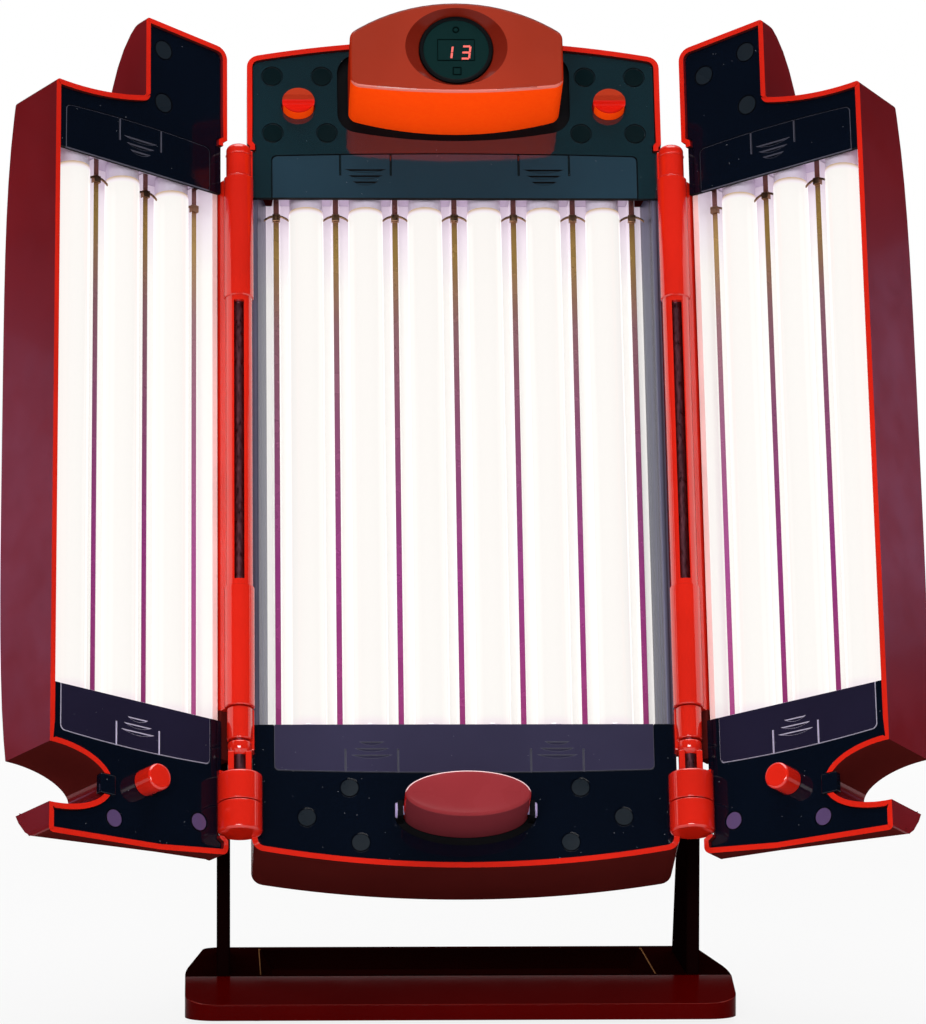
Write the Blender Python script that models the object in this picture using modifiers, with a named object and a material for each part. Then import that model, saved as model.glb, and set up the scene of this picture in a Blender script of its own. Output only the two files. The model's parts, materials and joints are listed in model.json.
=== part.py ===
"""Tri-fold facial tanner: a lamp panel with two hinged wings, tilting between the arms of a tray base.

Metres, +Z up, front towards -Y. The origin is on the table, under the middle of the whole object. The
panel and the wings stand as they are used: panel tilted back, wings swung forwards.

Panel pieces are drawn in the panel's own frame: X across, Y back from the fascia's front face, Z up along
the panel, with the origin in the middle of the lamp window. Wing pieces are drawn from the hinge axis:
X outwards, Y back, Z up.
"""

import math

import bmesh
import bpy
from mathutils import Matrix, Vector

MM = 0.001

# Lamps: bi-pin tubes, side by side, with their ends covered
LAMP_DIAMETER = 16 * MM
LAMP_COVERED = 6.3 * MM
LAMP_CAP_LENGTH = 9.5 * MM
LAMP_CAP_STEP = 0.4 * MM
LAMP_PIN_DIAMETER = 2.4 * MM
LAMP_PIN_SPACING = 5 * MM
LAMP_PIN_LENGTH = 6.5 * MM
LAMP_PITCH = 27.5 * MM
LAMP_DEPTH = 13 * MM
CENTRE_LAMPS = 6
WING_LAMPS = 3

# Walls, plates and the gap between pieces that fit together
WALL = 2.5 * MM
PLATE = 2.2 * MM
CLEAR = 0.3 * MM
RIM_PROUD = 1.5 * MM

# Window, covers and reflector
WINDOW_HEIGHT = 257.4 * MM
COVER_HEIGHT = 21.3 * MM
COVER_ARCH = 1.3 * MM
COVER_MARGIN = 7.7 * MM
REFLECTOR_SHEET = 1 * MM
REFLECTOR_GAP = 2.5 * MM
RIDGE_HEIGHT = 9 * MM
RIDGE_WIDTH = 5 * MM
CHASSIS_SHEET = 1.5 * MM
CHASSIS_SPINE_WIDTH = 40 * MM
HOLDER_THICKNESS = 8 * MM
HOLDER_HEIGHT = 18 * MM

# Hinges between the panel and the wings. Tops and bottoms here and below are heights over the window's
# upper or lower edge, and the slot's are heights over the middle of the window
LAMP_ROW_MARGIN = 12.2 * MM
HINGE_SETBACK = 5.3 * MM
HINGE_FORWARD = 6.1 * MM
HINGE_PIN_DIAMETER = 7 * MM
BARREL_DIAMETER = 13.6 * MM
BARREL_TOP = 6.7 * MM
BARREL_BOTTOM = 5.4 * MM
BARREL_SLOT_TOP = 75 * MM
BARREL_SLOT_BOTTOM = -66 * MM
BARREL_SLOT_WIDTH = 4.5 * MM
BARREL_WEB_DEPTH = 10 * MM
EAR_DIAMETER = 11.5 * MM
EAR_TOP = 23.1 * MM
NECK_BOTTOM = -18.3 * MM
KNUCKLE_DIAMETER = 20 * MM
KNUCKLE_TOP = -26 * MM
KNUCKLE_HEIGHT = 13.4 * MM
KNUCKLE_GAP = 0.5 * MM
SWING_GAP = 0.8 * MM

# Centre panel
CENTRE_EDGE_GAP = 4 * MM
CENTRE_TOP_CORNER = 71.3 * MM
CENTRE_TOP_RISE = 9 * MM
CENTRE_BOTTOM_CORNER = -58.8 * MM
CENTRE_BOTTOM_DROP = 8.8 * MM
CENTRE_DEPTH = 54 * MM
CENTRE_BOW_BELOW = 14 * MM
HINGE_ZONE_MARGIN = 2.5 * MM
EDGE_STEP = 1.5 * MM

# Wings
WING_EDGE_GAP = 3 * MM
WINGS_MEET_GAP = 1.4 * MM
WING_TOP_HINGE = 73.8 * MM
WING_TOP_TIP = 77.5 * MM
WING_BOTTOM_HINGE = -62.3 * MM
WING_MIDDLE = 40 * MM
WING_BOTTOM_MIDDLE = -66.9 * MM
WING_BOTTOM_FREE = -69.9 * MM
WING_DEPTH = 39 * MM
WING_FOOT_RISE = 6.3 * MM
BOW_POWER = 4
WING_ROOT_TOP = 2
WING_ROOT_BOTTOM = 3
CENTRE_ROOT_TOP = 3
CENTRE_ROOT_BOTTOM = 8
CORNER_ROUND = 6 * MM
WING_ROUND = 3.5 * MM
TIP_ROUND = 2 * MM

# Timer
TIMER_HALF_WIDTH = 49 * MM
TIMER_PROUD = 38 * MM
TIMER_FACE = 6 * MM
TIMER_SIDE_TOP = 66.3 * MM
TIMER_APEX = 81.9 * MM
TIMER_SIDE_BOTTOM = 39.3 * MM
TIMER_LOWEST = 34.3 * MM
TIMER_ROUND = 5 * MM
TIMER_RECESS = 5 * MM
TIMER_NOTCH_GAP = 2 * MM
DISPLAY_HEIGHT = 59.3 * MM
DISPLAY_DIAMETER = 34 * MM
DISPLAY_THICKNESS = 4.5 * MM
DISPLAY_RING_WIDTH = 47 * MM
DISPLAY_RING_HEIGHT = 37.5 * MM
DISPLAY_SUNK = 4 * MM
BOARD_WIDTH = 58 * MM
BOARD_HEIGHT = 24 * MM
BOARD_THICKNESS = 1.6 * MM

# Push buttons
BUTTON_DIAMETER = 15 * MM
BUTTON_PRESSED_PROUD = 5 * MM
BUTTON_STEM = 9 * MM
BUTTON_FLANGE = 2 * MM
BUTTON_TRAVEL = 3 * MM
BUTTON_ACROSS = 72.2 * MM
BUTTON_HEIGHT = 44.1 * MM
BUTTON_ROUND = 3 * MM

# Release latch
LATCH_HALF_WIDTH = 27.7 * MM
LATCH_HALF_HEIGHT = 10.6 * MM
LATCH_PROUD = 30 * MM
LATCH_HEIGHT = -42.3 * MM
LATCH_PIN_DIAMETER = 4 * MM
LATCH_PIN_PROUD = 5.5 * MM
LATCH_WELL_GAP = 3.9 * MM
LATCH_NOTCH_GAP = 3.2 * MM
LATCH_EAR_THICKNESS = 2.4 * MM
LATCH_EAR_WIDTH = 7 * MM
LATCH_HEM = 1.2 * MM
CATCH_WIDTH = 8 * MM
CATCH_HEIGHT = 9 * MM
CATCH_PROUD = 1.8 * MM

# Stop pegs
PEG_DIAMETER = 12 * MM
PEG_END_GAP = 0.7 * MM
PEG_STEM_DIAMETER = 6 * MM
PEG_STEM = 8 * MM
PEG_ACROSS = 46.8 * MM
PEG_HEIGHT = -37.2 * MM

# Electrics
BALLAST_WIDTH = 120 * MM
BALLAST_HEIGHT = 60 * MM
BALLAST_THICKNESS = 14 * MM
INLET_WIDTH = 24 * MM
INLET_HEIGHT = 17 * MM
INLET_LENGTH = 14 * MM
INLET_FLANGE = 4 * MM
INLET_FLANGE_THICKNESS = 2.5 * MM
INLET_UP = -110 * MM
INLET_PAD_PROUD = 2 * MM

# Pose
PANEL_TILT = math.radians(24.5)
WING_SWING = math.radians(36)

# Stand
STAND_BACK = 42.5 * MM
PIVOT_BACK = -18 * MM
PIVOT_HEIGHT = 221 * MM
PIVOT_DOWN_PANEL = -25 * MM
PIVOT_DEPTH = 25 * MM
PIVOT_BOLT_DIAMETER = 8 * MM
PIVOT_HEAD_DIAMETER = 14 * MM
PIVOT_HEAD_HEIGHT = 3 * MM
PIVOT_BOSS_DIAMETER = 24 * MM
PIVOT_BOSS_LENGTH = 9 * MM
ARM_THICKNESS = 6 * MM
ARM_TOP_RADIUS = 14 * MM
ARM_FOOT_DEPTH = 85 * MM
ARM_FLARE_DEPTH = 63 * MM
ARM_FLARE_HEIGHT = 50 * MM
ARM_STRAIGHT_HEIGHT = 134 * MM
ARM_TENON = 6 * MM
BASE_FRONT_WIDTH = 249 * MM
BASE_BACK_WIDTH = 232 * MM
BASE_DEPTH = 142 * MM
BASE_HEIGHT = 15.5 * MM
BASE_FRONT_HEIGHT = 7.2 * MM
BASE_FRONT_ROUND = 14 * MM
BASE_SIDE_BEND = -13 * MM
BASE_SIDE_ROUND = 300 * MM
BASE_BACK_ROUND = 9 * MM
BAR_DEPTH = 35 * MM
TRAY_GAP = 6 * MM
TRAY_HALF_WIDTH = 90 * MM
TRAY_SLOPE = 6 * MM
TRAY_BACK_RIM = 7 * MM
TRAY_DEPTH = 9.5 * MM
WEIGHT_THICKNESS = 2.4 * MM
WEIGHT_MARGIN = 12 * MM
FOOT_DIAMETER = 14 * MM
FOOT_HEIGHT = 2.5 * MM
FOOT_INSET = 12 * MM

# Worked out from the sizes above
CENTRE_ROW = CENTRE_LAMPS * LAMP_PITCH
HINGE_X = CENTRE_ROW / 2 + LAMP_ROW_MARGIN + HINGE_SETBACK
WING_REACH = HINGE_X - WINGS_MEET_GAP
WINDOW_EDGE = WINDOW_HEIGHT / 2
LAMP_LENGTH = WINDOW_HEIGHT + 2 * LAMP_COVERED
BARREL_TOP_Z = WINDOW_EDGE + BARREL_TOP
EAR_TOP_Z = WINDOW_EDGE + EAR_TOP
CENTRE_TOP_CORNER_Z = WINDOW_EDGE + CENTRE_TOP_CORNER
WING_TOP_HINGE_Z = WINDOW_EDGE + WING_TOP_HINGE
WING_TOP_TIP_Z = WINDOW_EDGE + WING_TOP_TIP
TIMER_SIDE_TOP_Z = WINDOW_EDGE + TIMER_SIDE_TOP
TIMER_APEX_Z = WINDOW_EDGE + TIMER_APEX
TIMER_SIDE_BOTTOM_Z = WINDOW_EDGE + TIMER_SIDE_BOTTOM
TIMER_LOWEST_Z = WINDOW_EDGE + TIMER_LOWEST
DISPLAY_HEIGHT_Z = WINDOW_EDGE + DISPLAY_HEIGHT
BUTTON_HEIGHT_Z = WINDOW_EDGE + BUTTON_HEIGHT
BARREL_BOTTOM_Z = -WINDOW_EDGE + BARREL_BOTTOM
NECK_BOTTOM_Z = -WINDOW_EDGE + NECK_BOTTOM
KNUCKLE_TOP_Z = -WINDOW_EDGE + KNUCKLE_TOP
CENTRE_BOTTOM_CORNER_Z = -WINDOW_EDGE + CENTRE_BOTTOM_CORNER
WING_BOTTOM_HINGE_Z = -WINDOW_EDGE + WING_BOTTOM_HINGE
WING_BOTTOM_MIDDLE_Z = -WINDOW_EDGE + WING_BOTTOM_MIDDLE
WING_BOTTOM_FREE_Z = -WINDOW_EDGE + WING_BOTTOM_FREE
LATCH_HEIGHT_Z = -WINDOW_EDGE + LATCH_HEIGHT
PEG_HEIGHT_Z = -WINDOW_EDGE + PEG_HEIGHT
COVER_EDGE = WINDOW_EDGE + COVER_HEIGHT
FASCIA_INSET = WALL + CLEAR
REFLECTOR_LENGTH = LAMP_LENGTH
NOTCH_WALL = HINGE_X - TIMER_HALF_WIDTH - TIMER_NOTCH_GAP
LATCH_NOTCH_DEEP = LATCH_HALF_WIDTH + LATCH_NOTCH_GAP
LATCH_NOTCH_HIGH = LATCH_HALF_HEIGHT + LATCH_NOTCH_GAP
CATCH_FACE = WING_REACH - LATCH_NOTCH_DEEP
BUTTON_PROUD = BUTTON_TRAVEL + BUTTON_PRESSED_PROUD
KNUCKLE_SPLIT = KNUCKLE_TOP_Z - KNUCKLE_HEIGHT
KNUCKLE_BOTTOM = KNUCKLE_SPLIT - KNUCKLE_GAP - KNUCKLE_HEIGHT
REFLECTOR_BACK = LAMP_DEPTH + LAMP_DIAMETER / 2 + REFLECTOR_GAP
SPINE_FRONT = REFLECTOR_BACK + REFLECTOR_SHEET + CLEAR
SPINE_BACK = SPINE_FRONT + CHASSIS_SHEET
PIN_BORE = HINGE_PIN_DIAMETER / 2 + CLEAR
ARM_INNER = CENTRE_ROW / 2 + LAMP_ROW_MARGIN + PIVOT_BOSS_LENGTH + CLEAR
BASE_TOP = FOOT_HEIGHT + BASE_HEIGHT

CUT = 1 * MM
ROUND_SIDES = 24
TUBE_SIDES = 16
SMALL_SIDES = 12
LATCH_SIDES = 32
ARC_STEPS = 4
LONG_ARC_STEPS = 8
BOW_STEPS = 18

RED = (0.60, 0.03, 0.015)
DARK_RED = (0.13, 0.004, 0.006)
BLACK = (0.012, 0.018, 0.024)


def clear_scene():
    """Removes whatever the scene holds and makes the two collections."""
    for obj in list(bpy.data.objects):
        bpy.data.objects.remove(obj, do_unlink=True)
    made = []
    for name in ("facial_tanner", "cutters"):
        collection = bpy.data.collections.new(name)
        bpy.context.scene.collection.children.link(collection)
        made.append(collection)
    return made


PARTS, CUTTERS = clear_scene()


def finish(name, colour, roughness, metallic=0.0, glow=0.0):
    """A Principled material with one colour."""
    material = bpy.data.materials.new(name)
    material.use_nodes = True
    shader = material.node_tree.nodes["Principled BSDF"]
    shader.inputs["Base Color"].default_value = (*colour, 1.0)
    shader.inputs["Roughness"].default_value = roughness
    shader.inputs["Metallic"].default_value = metallic
    shader.inputs["Emission Color"].default_value = (*colour, 1.0)
    shader.inputs["Emission Strength"].default_value = glow
    return material


RED_GLOSS = finish("red_gloss_plastic", RED, 0.18)
DARK_GLOSS = finish("dark_red_gloss_plastic", DARK_RED, 0.15)
BLACK_GLOSS = finish("black_gloss_plastic", BLACK, 0.15)
BLACK_MATTE = finish("black_matte_plastic", (0.01, 0.01, 0.01), 0.6)
STEEL = finish("steel", (0.45, 0.45, 0.47), 0.35, metallic=1.0)
DARK_STEEL = finish("dark_steel", (0.05, 0.04, 0.04), 0.4, metallic=1.0)
ALUMINIUM = finish("aluminium_reflector", (0.85, 0.84, 0.86), 0.2, metallic=1.0)
LAMP_GLASS = finish("lit_lamp_glass", (0.95, 0.93, 0.97), 0.3, glow=1.0)
BOARD_GREEN = finish("circuit_board", (0.02, 0.12, 0.05), 0.5)
RUBBER = finish("black_rubber", (0.02, 0.02, 0.02), 0.8)


# Frames

def frame(name, location, rotation=(0, 0, 0), parent=None):
    """An empty that carries the pieces drawn in its frame."""
    empty = bpy.data.objects.new(name, None)
    PARTS.objects.link(empty)
    empty.parent = parent
    empty.location = location
    empty.rotation_euler = rotation
    return empty


STAND = frame("stand", (0, STAND_BACK, 0))
PIVOT = frame("panel_pivot", (0, PIVOT_BACK, PIVOT_HEIGHT), (-PANEL_TILT, 0, 0), STAND)
FACE = frame("panel_face", (0, -PIVOT_DEPTH, -PIVOT_DOWN_PANEL), parent=PIVOT)
WINGS = {
    side: frame(f"{name}_hinge_axis", (side * HINGE_X, -HINGE_FORWARD, 0), (0, 0, -side * WING_SWING), FACE)
    for side, name in ((-1, "left"), (1, "right"))
}


# Outlines

def arc(first, middle, last, steps):
    """Points of the circle through three points, from first to last."""
    (ax, ay), (bx, by), (cx, cy) = first, middle, last
    twice = 2 * (ax * (by - cy) + bx * (cy - ay) + cx * (ay - by))
    a2, b2, c2 = ax * ax + ay * ay, bx * bx + by * by, cx * cx + cy * cy
    ox = (a2 * (by - cy) + b2 * (cy - ay) + c2 * (ay - by)) / twice
    oy = (a2 * (cx - bx) + b2 * (ax - cx) + c2 * (bx - ax)) / twice
    radius = math.hypot(ax - ox, ay - oy)
    start = math.atan2(ay - oy, ax - ox)
    sweep = (math.atan2(cy - oy, cx - ox) - start + math.pi) % math.tau - math.pi
    angles = [start + sweep * i / steps for i in range(steps + 1)]
    return [(ox + radius * math.cos(a), oy + radius * math.sin(a)) for a in angles]


def sharp(points):
    """Corners with no rounding."""
    return [(x, z, 0.0) for x, z in points]


def outline(corners, inset=0.0):
    """The closed outline of counter-clockwise corners (x, z, radius), moved inwards by inset and rounded."""
    moved = []
    count = len(corners)
    for i, (x, z, radius) in enumerate(corners):
        before = Vector((x, z)) - Vector(corners[i - 1][:2])
        after = Vector(corners[(i + 1) % count][:2]) - Vector((x, z))
        before.normalize()
        after.normalize()
        normal = Vector((-before.y - after.y, before.x + after.x))
        reach = inset * 2 / normal.length_squared
        turn = before.x * after.y - before.y * after.x
        left = max(radius - inset, 0.0) if turn > 0 else (radius + inset if radius else 0.0)
        moved.append((Vector((x, z)) + normal * reach, left))
    points = []
    for i, (corner, radius) in enumerate(moved):
        if not radius:
            points.append(tuple(corner))
            continue
        back = (moved[i - 1][0] - corner).normalized()
        ahead = (moved[(i + 1) % count][0] - corner).normalized()
        half = back.angle(ahead) / 2
        length = radius / math.tan(half)
        bisector = (back + ahead).normalized()
        centre = corner + bisector * (radius / math.sin(half))
        middle = centre - bisector * radius
        points += arc(corner + back * length, middle, corner + ahead * length, ARC_STEPS)
    return points


def ellipse(across, up, half_across, half_up, sides=LATCH_SIDES):
    """Points of a whole ellipse, counter-clockwise."""
    angles = [math.tau * i / sides for i in range(sides)]
    return [(across + half_across * math.cos(a), up + half_up * math.sin(a)) for a in angles]


def bow(bottom, top, depth, root_bottom, root_top, front):
    """Side outline (y, z) of a bowed shell: flat front, back swelling to depth between bottom and top."""
    middle, half = (bottom + top) / 2, (top - bottom) / 2
    points = []
    for i in range(BOW_STEPS + 1):
        share = math.sin(math.pi * (i / BOW_STEPS - 0.5))
        root = root_top if share > 0 else root_bottom
        points.append((depth * (1 - abs(share) ** BOW_POWER) ** (1 / root), middle + half * share))
    return points + [(front, top), (front, bottom)]


def centre_outline(inset=0.0):
    """Front outline of the centre panel, narrower beside the hinges than at the top."""
    wide = HINGE_X - CENTRE_EDGE_GAP
    narrow = HINGE_X - HINGE_SETBACK
    high = EAR_TOP_Z + HINGE_ZONE_MARGIN
    bottom = arc((-narrow, CENTRE_BOTTOM_CORNER_Z), (0, CENTRE_BOTTOM_CORNER_Z - CENTRE_BOTTOM_DROP),
                 (narrow, CENTRE_BOTTOM_CORNER_Z), LONG_ARC_STEPS)
    top = arc((wide, CENTRE_TOP_CORNER_Z), (0, CENTRE_TOP_CORNER_Z + CENTRE_TOP_RISE),
              (-wide, CENTRE_TOP_CORNER_Z), LONG_ARC_STEPS)
    corners = [(*bottom[0], CORNER_ROUND), *sharp(bottom[1:-1]), (*bottom[-1], CORNER_ROUND)]
    corners += sharp([(narrow, high), (wide, high + EDGE_STEP)])
    corners += [(*top[0], CORNER_ROUND), *sharp(top[1:-1]), (*top[-1], CORNER_ROUND)]
    corners += sharp([(-wide, high + EDGE_STEP), (-narrow, high)])
    return outline(corners, inset)


def wing_outline(inset=0.0):
    """Front outline of a wing from the hinge axis outwards, with its timer notch and latch notch."""
    low, high = KNUCKLE_BOTTOM - SWING_GAP, EAR_TOP_Z + HINGE_ZONE_MARGIN
    angles = [math.pi * (1.5 - i / LATCH_SIDES * 2) for i in range(LATCH_SIDES // 2 + 1)]
    latch_notch = [
        (WING_REACH + LATCH_NOTCH_DEEP * math.cos(a), LATCH_HEIGHT_Z + LATCH_NOTCH_HIGH * math.sin(a))
        for a in angles
    ]
    corners = [
        (WING_EDGE_GAP, WING_BOTTOM_HINGE_Z, WING_ROUND),
        (WING_MIDDLE, WING_BOTTOM_MIDDLE_Z, 0.0),
        (WING_REACH, WING_BOTTOM_FREE_Z, TIP_ROUND),
        *sharp(latch_notch),
        (WING_REACH, TIMER_LOWEST_Z - TIMER_NOTCH_GAP, TIP_ROUND),
        (NOTCH_WALL, TIMER_SIDE_BOTTOM_Z - TIMER_NOTCH_GAP, TIP_ROUND),
        (NOTCH_WALL, WING_TOP_TIP_Z, TIP_ROUND),
        (WING_EDGE_GAP, WING_TOP_HINGE_Z, WING_ROUND),
        *sharp([(WING_EDGE_GAP, high + EDGE_STEP), (HINGE_SETBACK, high), (HINGE_SETBACK, low),
                (WING_EDGE_GAP, low - EDGE_STEP)]),
    ]
    return outline(corners, inset)


def timer_outline(inset=0.0):
    """Front outline of the timer housing: curved bottom, upright sides, arched top."""
    half = TIMER_HALF_WIDTH
    low = TIMER_SIDE_BOTTOM_Z
    bottom = arc((-half, low), (0, TIMER_LOWEST_Z), (half, low), LONG_ARC_STEPS)
    top = arc((half, TIMER_SIDE_TOP_Z), (0, TIMER_APEX_Z), (-half, TIMER_SIDE_TOP_Z), LONG_ARC_STEPS)
    corners = [(*bottom[0], TIMER_ROUND), *sharp(bottom[1:-1]), (*bottom[-1], TIMER_ROUND)]
    corners += [(*top[0], TIMER_ROUND), *sharp(top[1:-1]), (*top[-1], TIMER_ROUND)]
    return outline(corners, inset)


# Solids

def add(name, mesh, parent=None, material=None, origin=(0, 0, 0), cutter=False):
    """An object for the mesh, in the parent's frame, with its own origin at the given point."""
    mesh.transform(Matrix.Translation(-Vector(origin)))
    mesh.name = name
    obj = bpy.data.objects.new(name, mesh)
    (CUTTERS if cutter else PARTS).objects.link(obj)
    obj.parent = parent
    obj.location = origin
    if cutter:
        obj.hide_render = True
        obj.display_type = "WIRE"
    if material:
        mesh.materials.append(material)
    return obj


def slab(points, start, end, along="Y", side=1):
    """A flat outline given a thickness from start to end along an axis. Side -1 mirrors it across X."""
    curve = bpy.data.curves.new("outline", "CURVE")
    curve.dimensions = "2D"
    curve.fill_mode = "BOTH"
    curve.extrude = abs(end - start) / 2
    spline = curve.splines.new("POLY")
    spline.points.add(len(points) - 1)
    for point, (a, b) in zip(spline.points, points):
        point.co = (a, b, 0, 1)
    spline.use_cyclic_u = True
    holder = bpy.data.objects.new("outline", curve)
    bpy.context.scene.collection.objects.link(holder)
    graph = bpy.context.evaluated_depsgraph_get()
    mesh = bpy.data.meshes.new_from_object(holder.evaluated_get(graph))
    bpy.data.objects.remove(holder)
    bpy.data.curves.remove(curve)
    middle = (start + end) / 2
    turns = {
        "X": Matrix(((0, 0, 1, middle), (1, 0, 0, 0), (0, 1, 0, 0), (0, 0, 0, 1))),
        "Y": Matrix(((1, 0, 0, 0), (0, 0, -1, middle), (0, 1, 0, 0), (0, 0, 0, 1))),
        "Z": Matrix.Translation((0, 0, middle)),
    }
    mesh.transform(Matrix.Diagonal((side, 1, 1, 1)) @ turns[along])
    return weld(mesh)


def weld(mesh):
    """Joins the loose edges of a mesh and turns its faces outwards."""
    shape = bmesh.new()
    shape.from_mesh(mesh)
    bmesh.ops.remove_doubles(shape, verts=shape.verts, dist=1e-6)
    bmesh.ops.recalc_face_normals(shape, faces=shape.faces)
    shape.to_mesh(mesh)
    shape.free()
    return mesh


def box(low, high):
    """A box between two corners."""
    shape = bmesh.new()
    size = Vector(high) - Vector(low)
    bmesh.ops.create_cube(shape, size=1)
    bmesh.ops.scale(shape, verts=shape.verts, vec=size)
    bmesh.ops.translate(shape, verts=shape.verts, vec=(Vector(low) + Vector(high)) / 2)
    mesh = bpy.data.meshes.new("box")
    shape.to_mesh(mesh)
    shape.free()
    return mesh


def rod(centre, start, end, diameter, along="Z", sides=ROUND_SIDES, end_diameter=None):
    """A round bar or cone along an axis. Centre gives the other two coordinates, in X, Y, Z order."""
    shape = bmesh.new()
    wide_end = diameter if end_diameter is None else end_diameter
    bmesh.ops.create_cone(shape, cap_ends=True, segments=sides, radius1=diameter / 2, radius2=wide_end / 2,
                          depth=end - start)
    turns = {
        "X": Matrix(((0, 0, 1, 0), (1, 0, 0, centre[0]), (0, 1, 0, centre[1]), (0, 0, 0, 1))),
        "Y": Matrix(((0, 1, 0, centre[0]), (0, 0, 1, 0), (1, 0, 0, centre[1]), (0, 0, 0, 1))),
        "Z": Matrix.Translation((*centre, 0)),
    }
    half_side = Matrix.Rotation(math.pi / sides, 4, "Z")
    lift = Matrix.Translation((0, 0, (start + end) / 2))
    bmesh.ops.transform(shape, verts=shape.verts, matrix=turns[along] @ lift @ half_side)
    mesh = bpy.data.meshes.new("rod")
    shape.to_mesh(mesh)
    shape.free()
    for face in mesh.polygons:
        face.use_smooth = len(face.vertices) == 4
    return mesh


def turned(profile, sides=ROUND_SIDES):
    """A solid turned about Z from (radius, height) points that run from its top to its bottom."""
    mesh = bpy.data.meshes.new("profile")
    shape = bmesh.new()
    chain = [shape.verts.new((radius, 0, height)) for radius, height in profile]
    for first, second in zip(chain, chain[1:]):
        shape.edges.new((first, second))
    bmesh.ops.spin(shape, geom=shape.verts[:] + shape.edges[:], cent=(0, 0, 0), axis=(0, 0, 1),
                   angle=math.tau, steps=sides, use_merge=True)
    shape.to_mesh(mesh)
    shape.free()
    return weld(mesh)


def combine(obj, mesh, operation, solver="EXACT"):
    """Cuts, joins or trims an object with a mesh drawn in the same frame."""
    tool = add(f"{obj.name}_{operation.lower()}_{len(obj.modifiers)}", mesh, obj.parent, cutter=True)
    step = obj.modifiers.new(tool.name, "BOOLEAN")
    step.operation = operation
    step.solver = solver
    step.object = tool
    return tool


def cut(obj, mesh, solver="EXACT"):
    """Takes a mesh away from an object."""
    return combine(obj, mesh, "DIFFERENCE", solver)


def join(obj, mesh, solver="EXACT"):
    """Makes a mesh one with an object."""
    return combine(obj, mesh, "UNION", solver)


def trim(obj, mesh, solver="EXACT"):
    """Keeps only what of an object lies inside a mesh."""
    return combine(obj, mesh, "INTERSECT", solver)


def bowed_block(span, depth, roots, back, front, side, rise):
    """A block across the whole width with a bowed back, its foot raised by rise at the hinge axis."""
    bottom, top = span
    reach = 2 * HINGE_X
    points = [(y + back, z) for y, z in bow(bottom, top, depth, *roots, front)]
    mesh = slab(points, -reach, reach, "X")
    middle = (bottom + top) / 2
    for vertex in mesh.vertices:
        below = max(0.0, (middle - vertex.co.z) / (middle - bottom))
        vertex.co.z += rise * below * (1 - side * vertex.co.x / WING_REACH)
    return mesh


def shell(name, drawn, front, span, depth, roots, parent, side=1, rise=0.0):
    """A bowed back shell, open to the front, from its outline function and its bow."""
    bottom, top = span
    back = front + RIM_PROUD
    obj = add(name, slab(drawn(), front, back + depth, side=side), parent, RED_GLOSS)
    trim(obj, bowed_block(span, depth, roots, back, -RIM_PROUD - CUT, side, rise), "MANIFOLD")
    hollow = cut(obj, slab(drawn(WALL), front - CUT, back + depth, side=side))
    inner = (bottom + WALL / 2, top - WALL / 2)
    trim(hollow, bowed_block(inner, depth - WALL, roots, back, -RIM_PROUD - 2 * CUT, side, rise), "MANIFOLD")
    return obj


# Lamps, chassis, reflector, fascias and covers: the same in the panel and in both wings

def lamp(name, across, back, parent):
    """A tube lamp with a metal cap and two pins at each end."""
    half = LAMP_LENGTH / 2
    glass, cap = LAMP_DIAMETER / 2, LAMP_DIAMETER / 2 - LAMP_CAP_STEP
    shoulder = half - LAMP_CAP_LENGTH
    upper = [(0, half), (cap, half), (cap, shoulder), (glass, shoulder)]
    profile = upper + [(radius, -height) for radius, height in reversed(upper)]
    mesh = turned(profile, TUBE_SIDES)
    mesh.transform(Matrix.Translation((across, back, 0)))
    obj = add(name, mesh, parent, LAMP_GLASS)
    for end in (-1, 1):
        for place in (-1, 1):
            low, high = sorted((end * (half - CUT), end * (half + LAMP_PIN_LENGTH)))
            centre = (across + place * LAMP_PIN_SPACING / 2, back)
            join(obj, rod(centre, low, high, LAMP_PIN_DIAMETER, sides=SMALL_SIDES // 2))
    return obj


def lamp_places(count, middle):
    """Positions of a row of lamps across its panel."""
    return [middle + (i - (count - 1) / 2) * LAMP_PITCH for i in range(count)]


def chassis(name, places, middle, front, parent):
    """Two bars of lamp holders joined by a spine behind the reflector, with slots for the lamps' pins."""
    start = LAMP_LENGTH / 2 + CLEAR
    end = start + HOLDER_THICKNESS
    half = (places[-1] - places[0] + LAMP_PITCH) / 2 - CLEAR
    low = front + LAMP_DEPTH - HOLDER_HEIGHT / 2
    spine = box((middle - CHASSIS_SPINE_WIDTH / 2, front + SPINE_FRONT, -end),
                (middle + CHASSIS_SPINE_WIDTH / 2, front + SPINE_BACK, end))
    obj = add(name, spine, parent, BLACK_MATTE)
    for way in (-1, 1):
        z0, z1 = sorted((way * start, way * end))
        join(obj, box((middle - half, low, z0), (middle + half, front + SPINE_BACK, z1)))
        for place in places:
            wide = (LAMP_PIN_SPACING + LAMP_PIN_DIAMETER) / 2 + CLEAR
            thick = LAMP_PIN_DIAMETER / 2 + CLEAR
            axis = front + LAMP_DEPTH
            cut(obj, box((place - wide, axis - thick, z0 - CUT), (place + wide, axis + thick, z1 + CUT)))
    return obj


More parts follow.
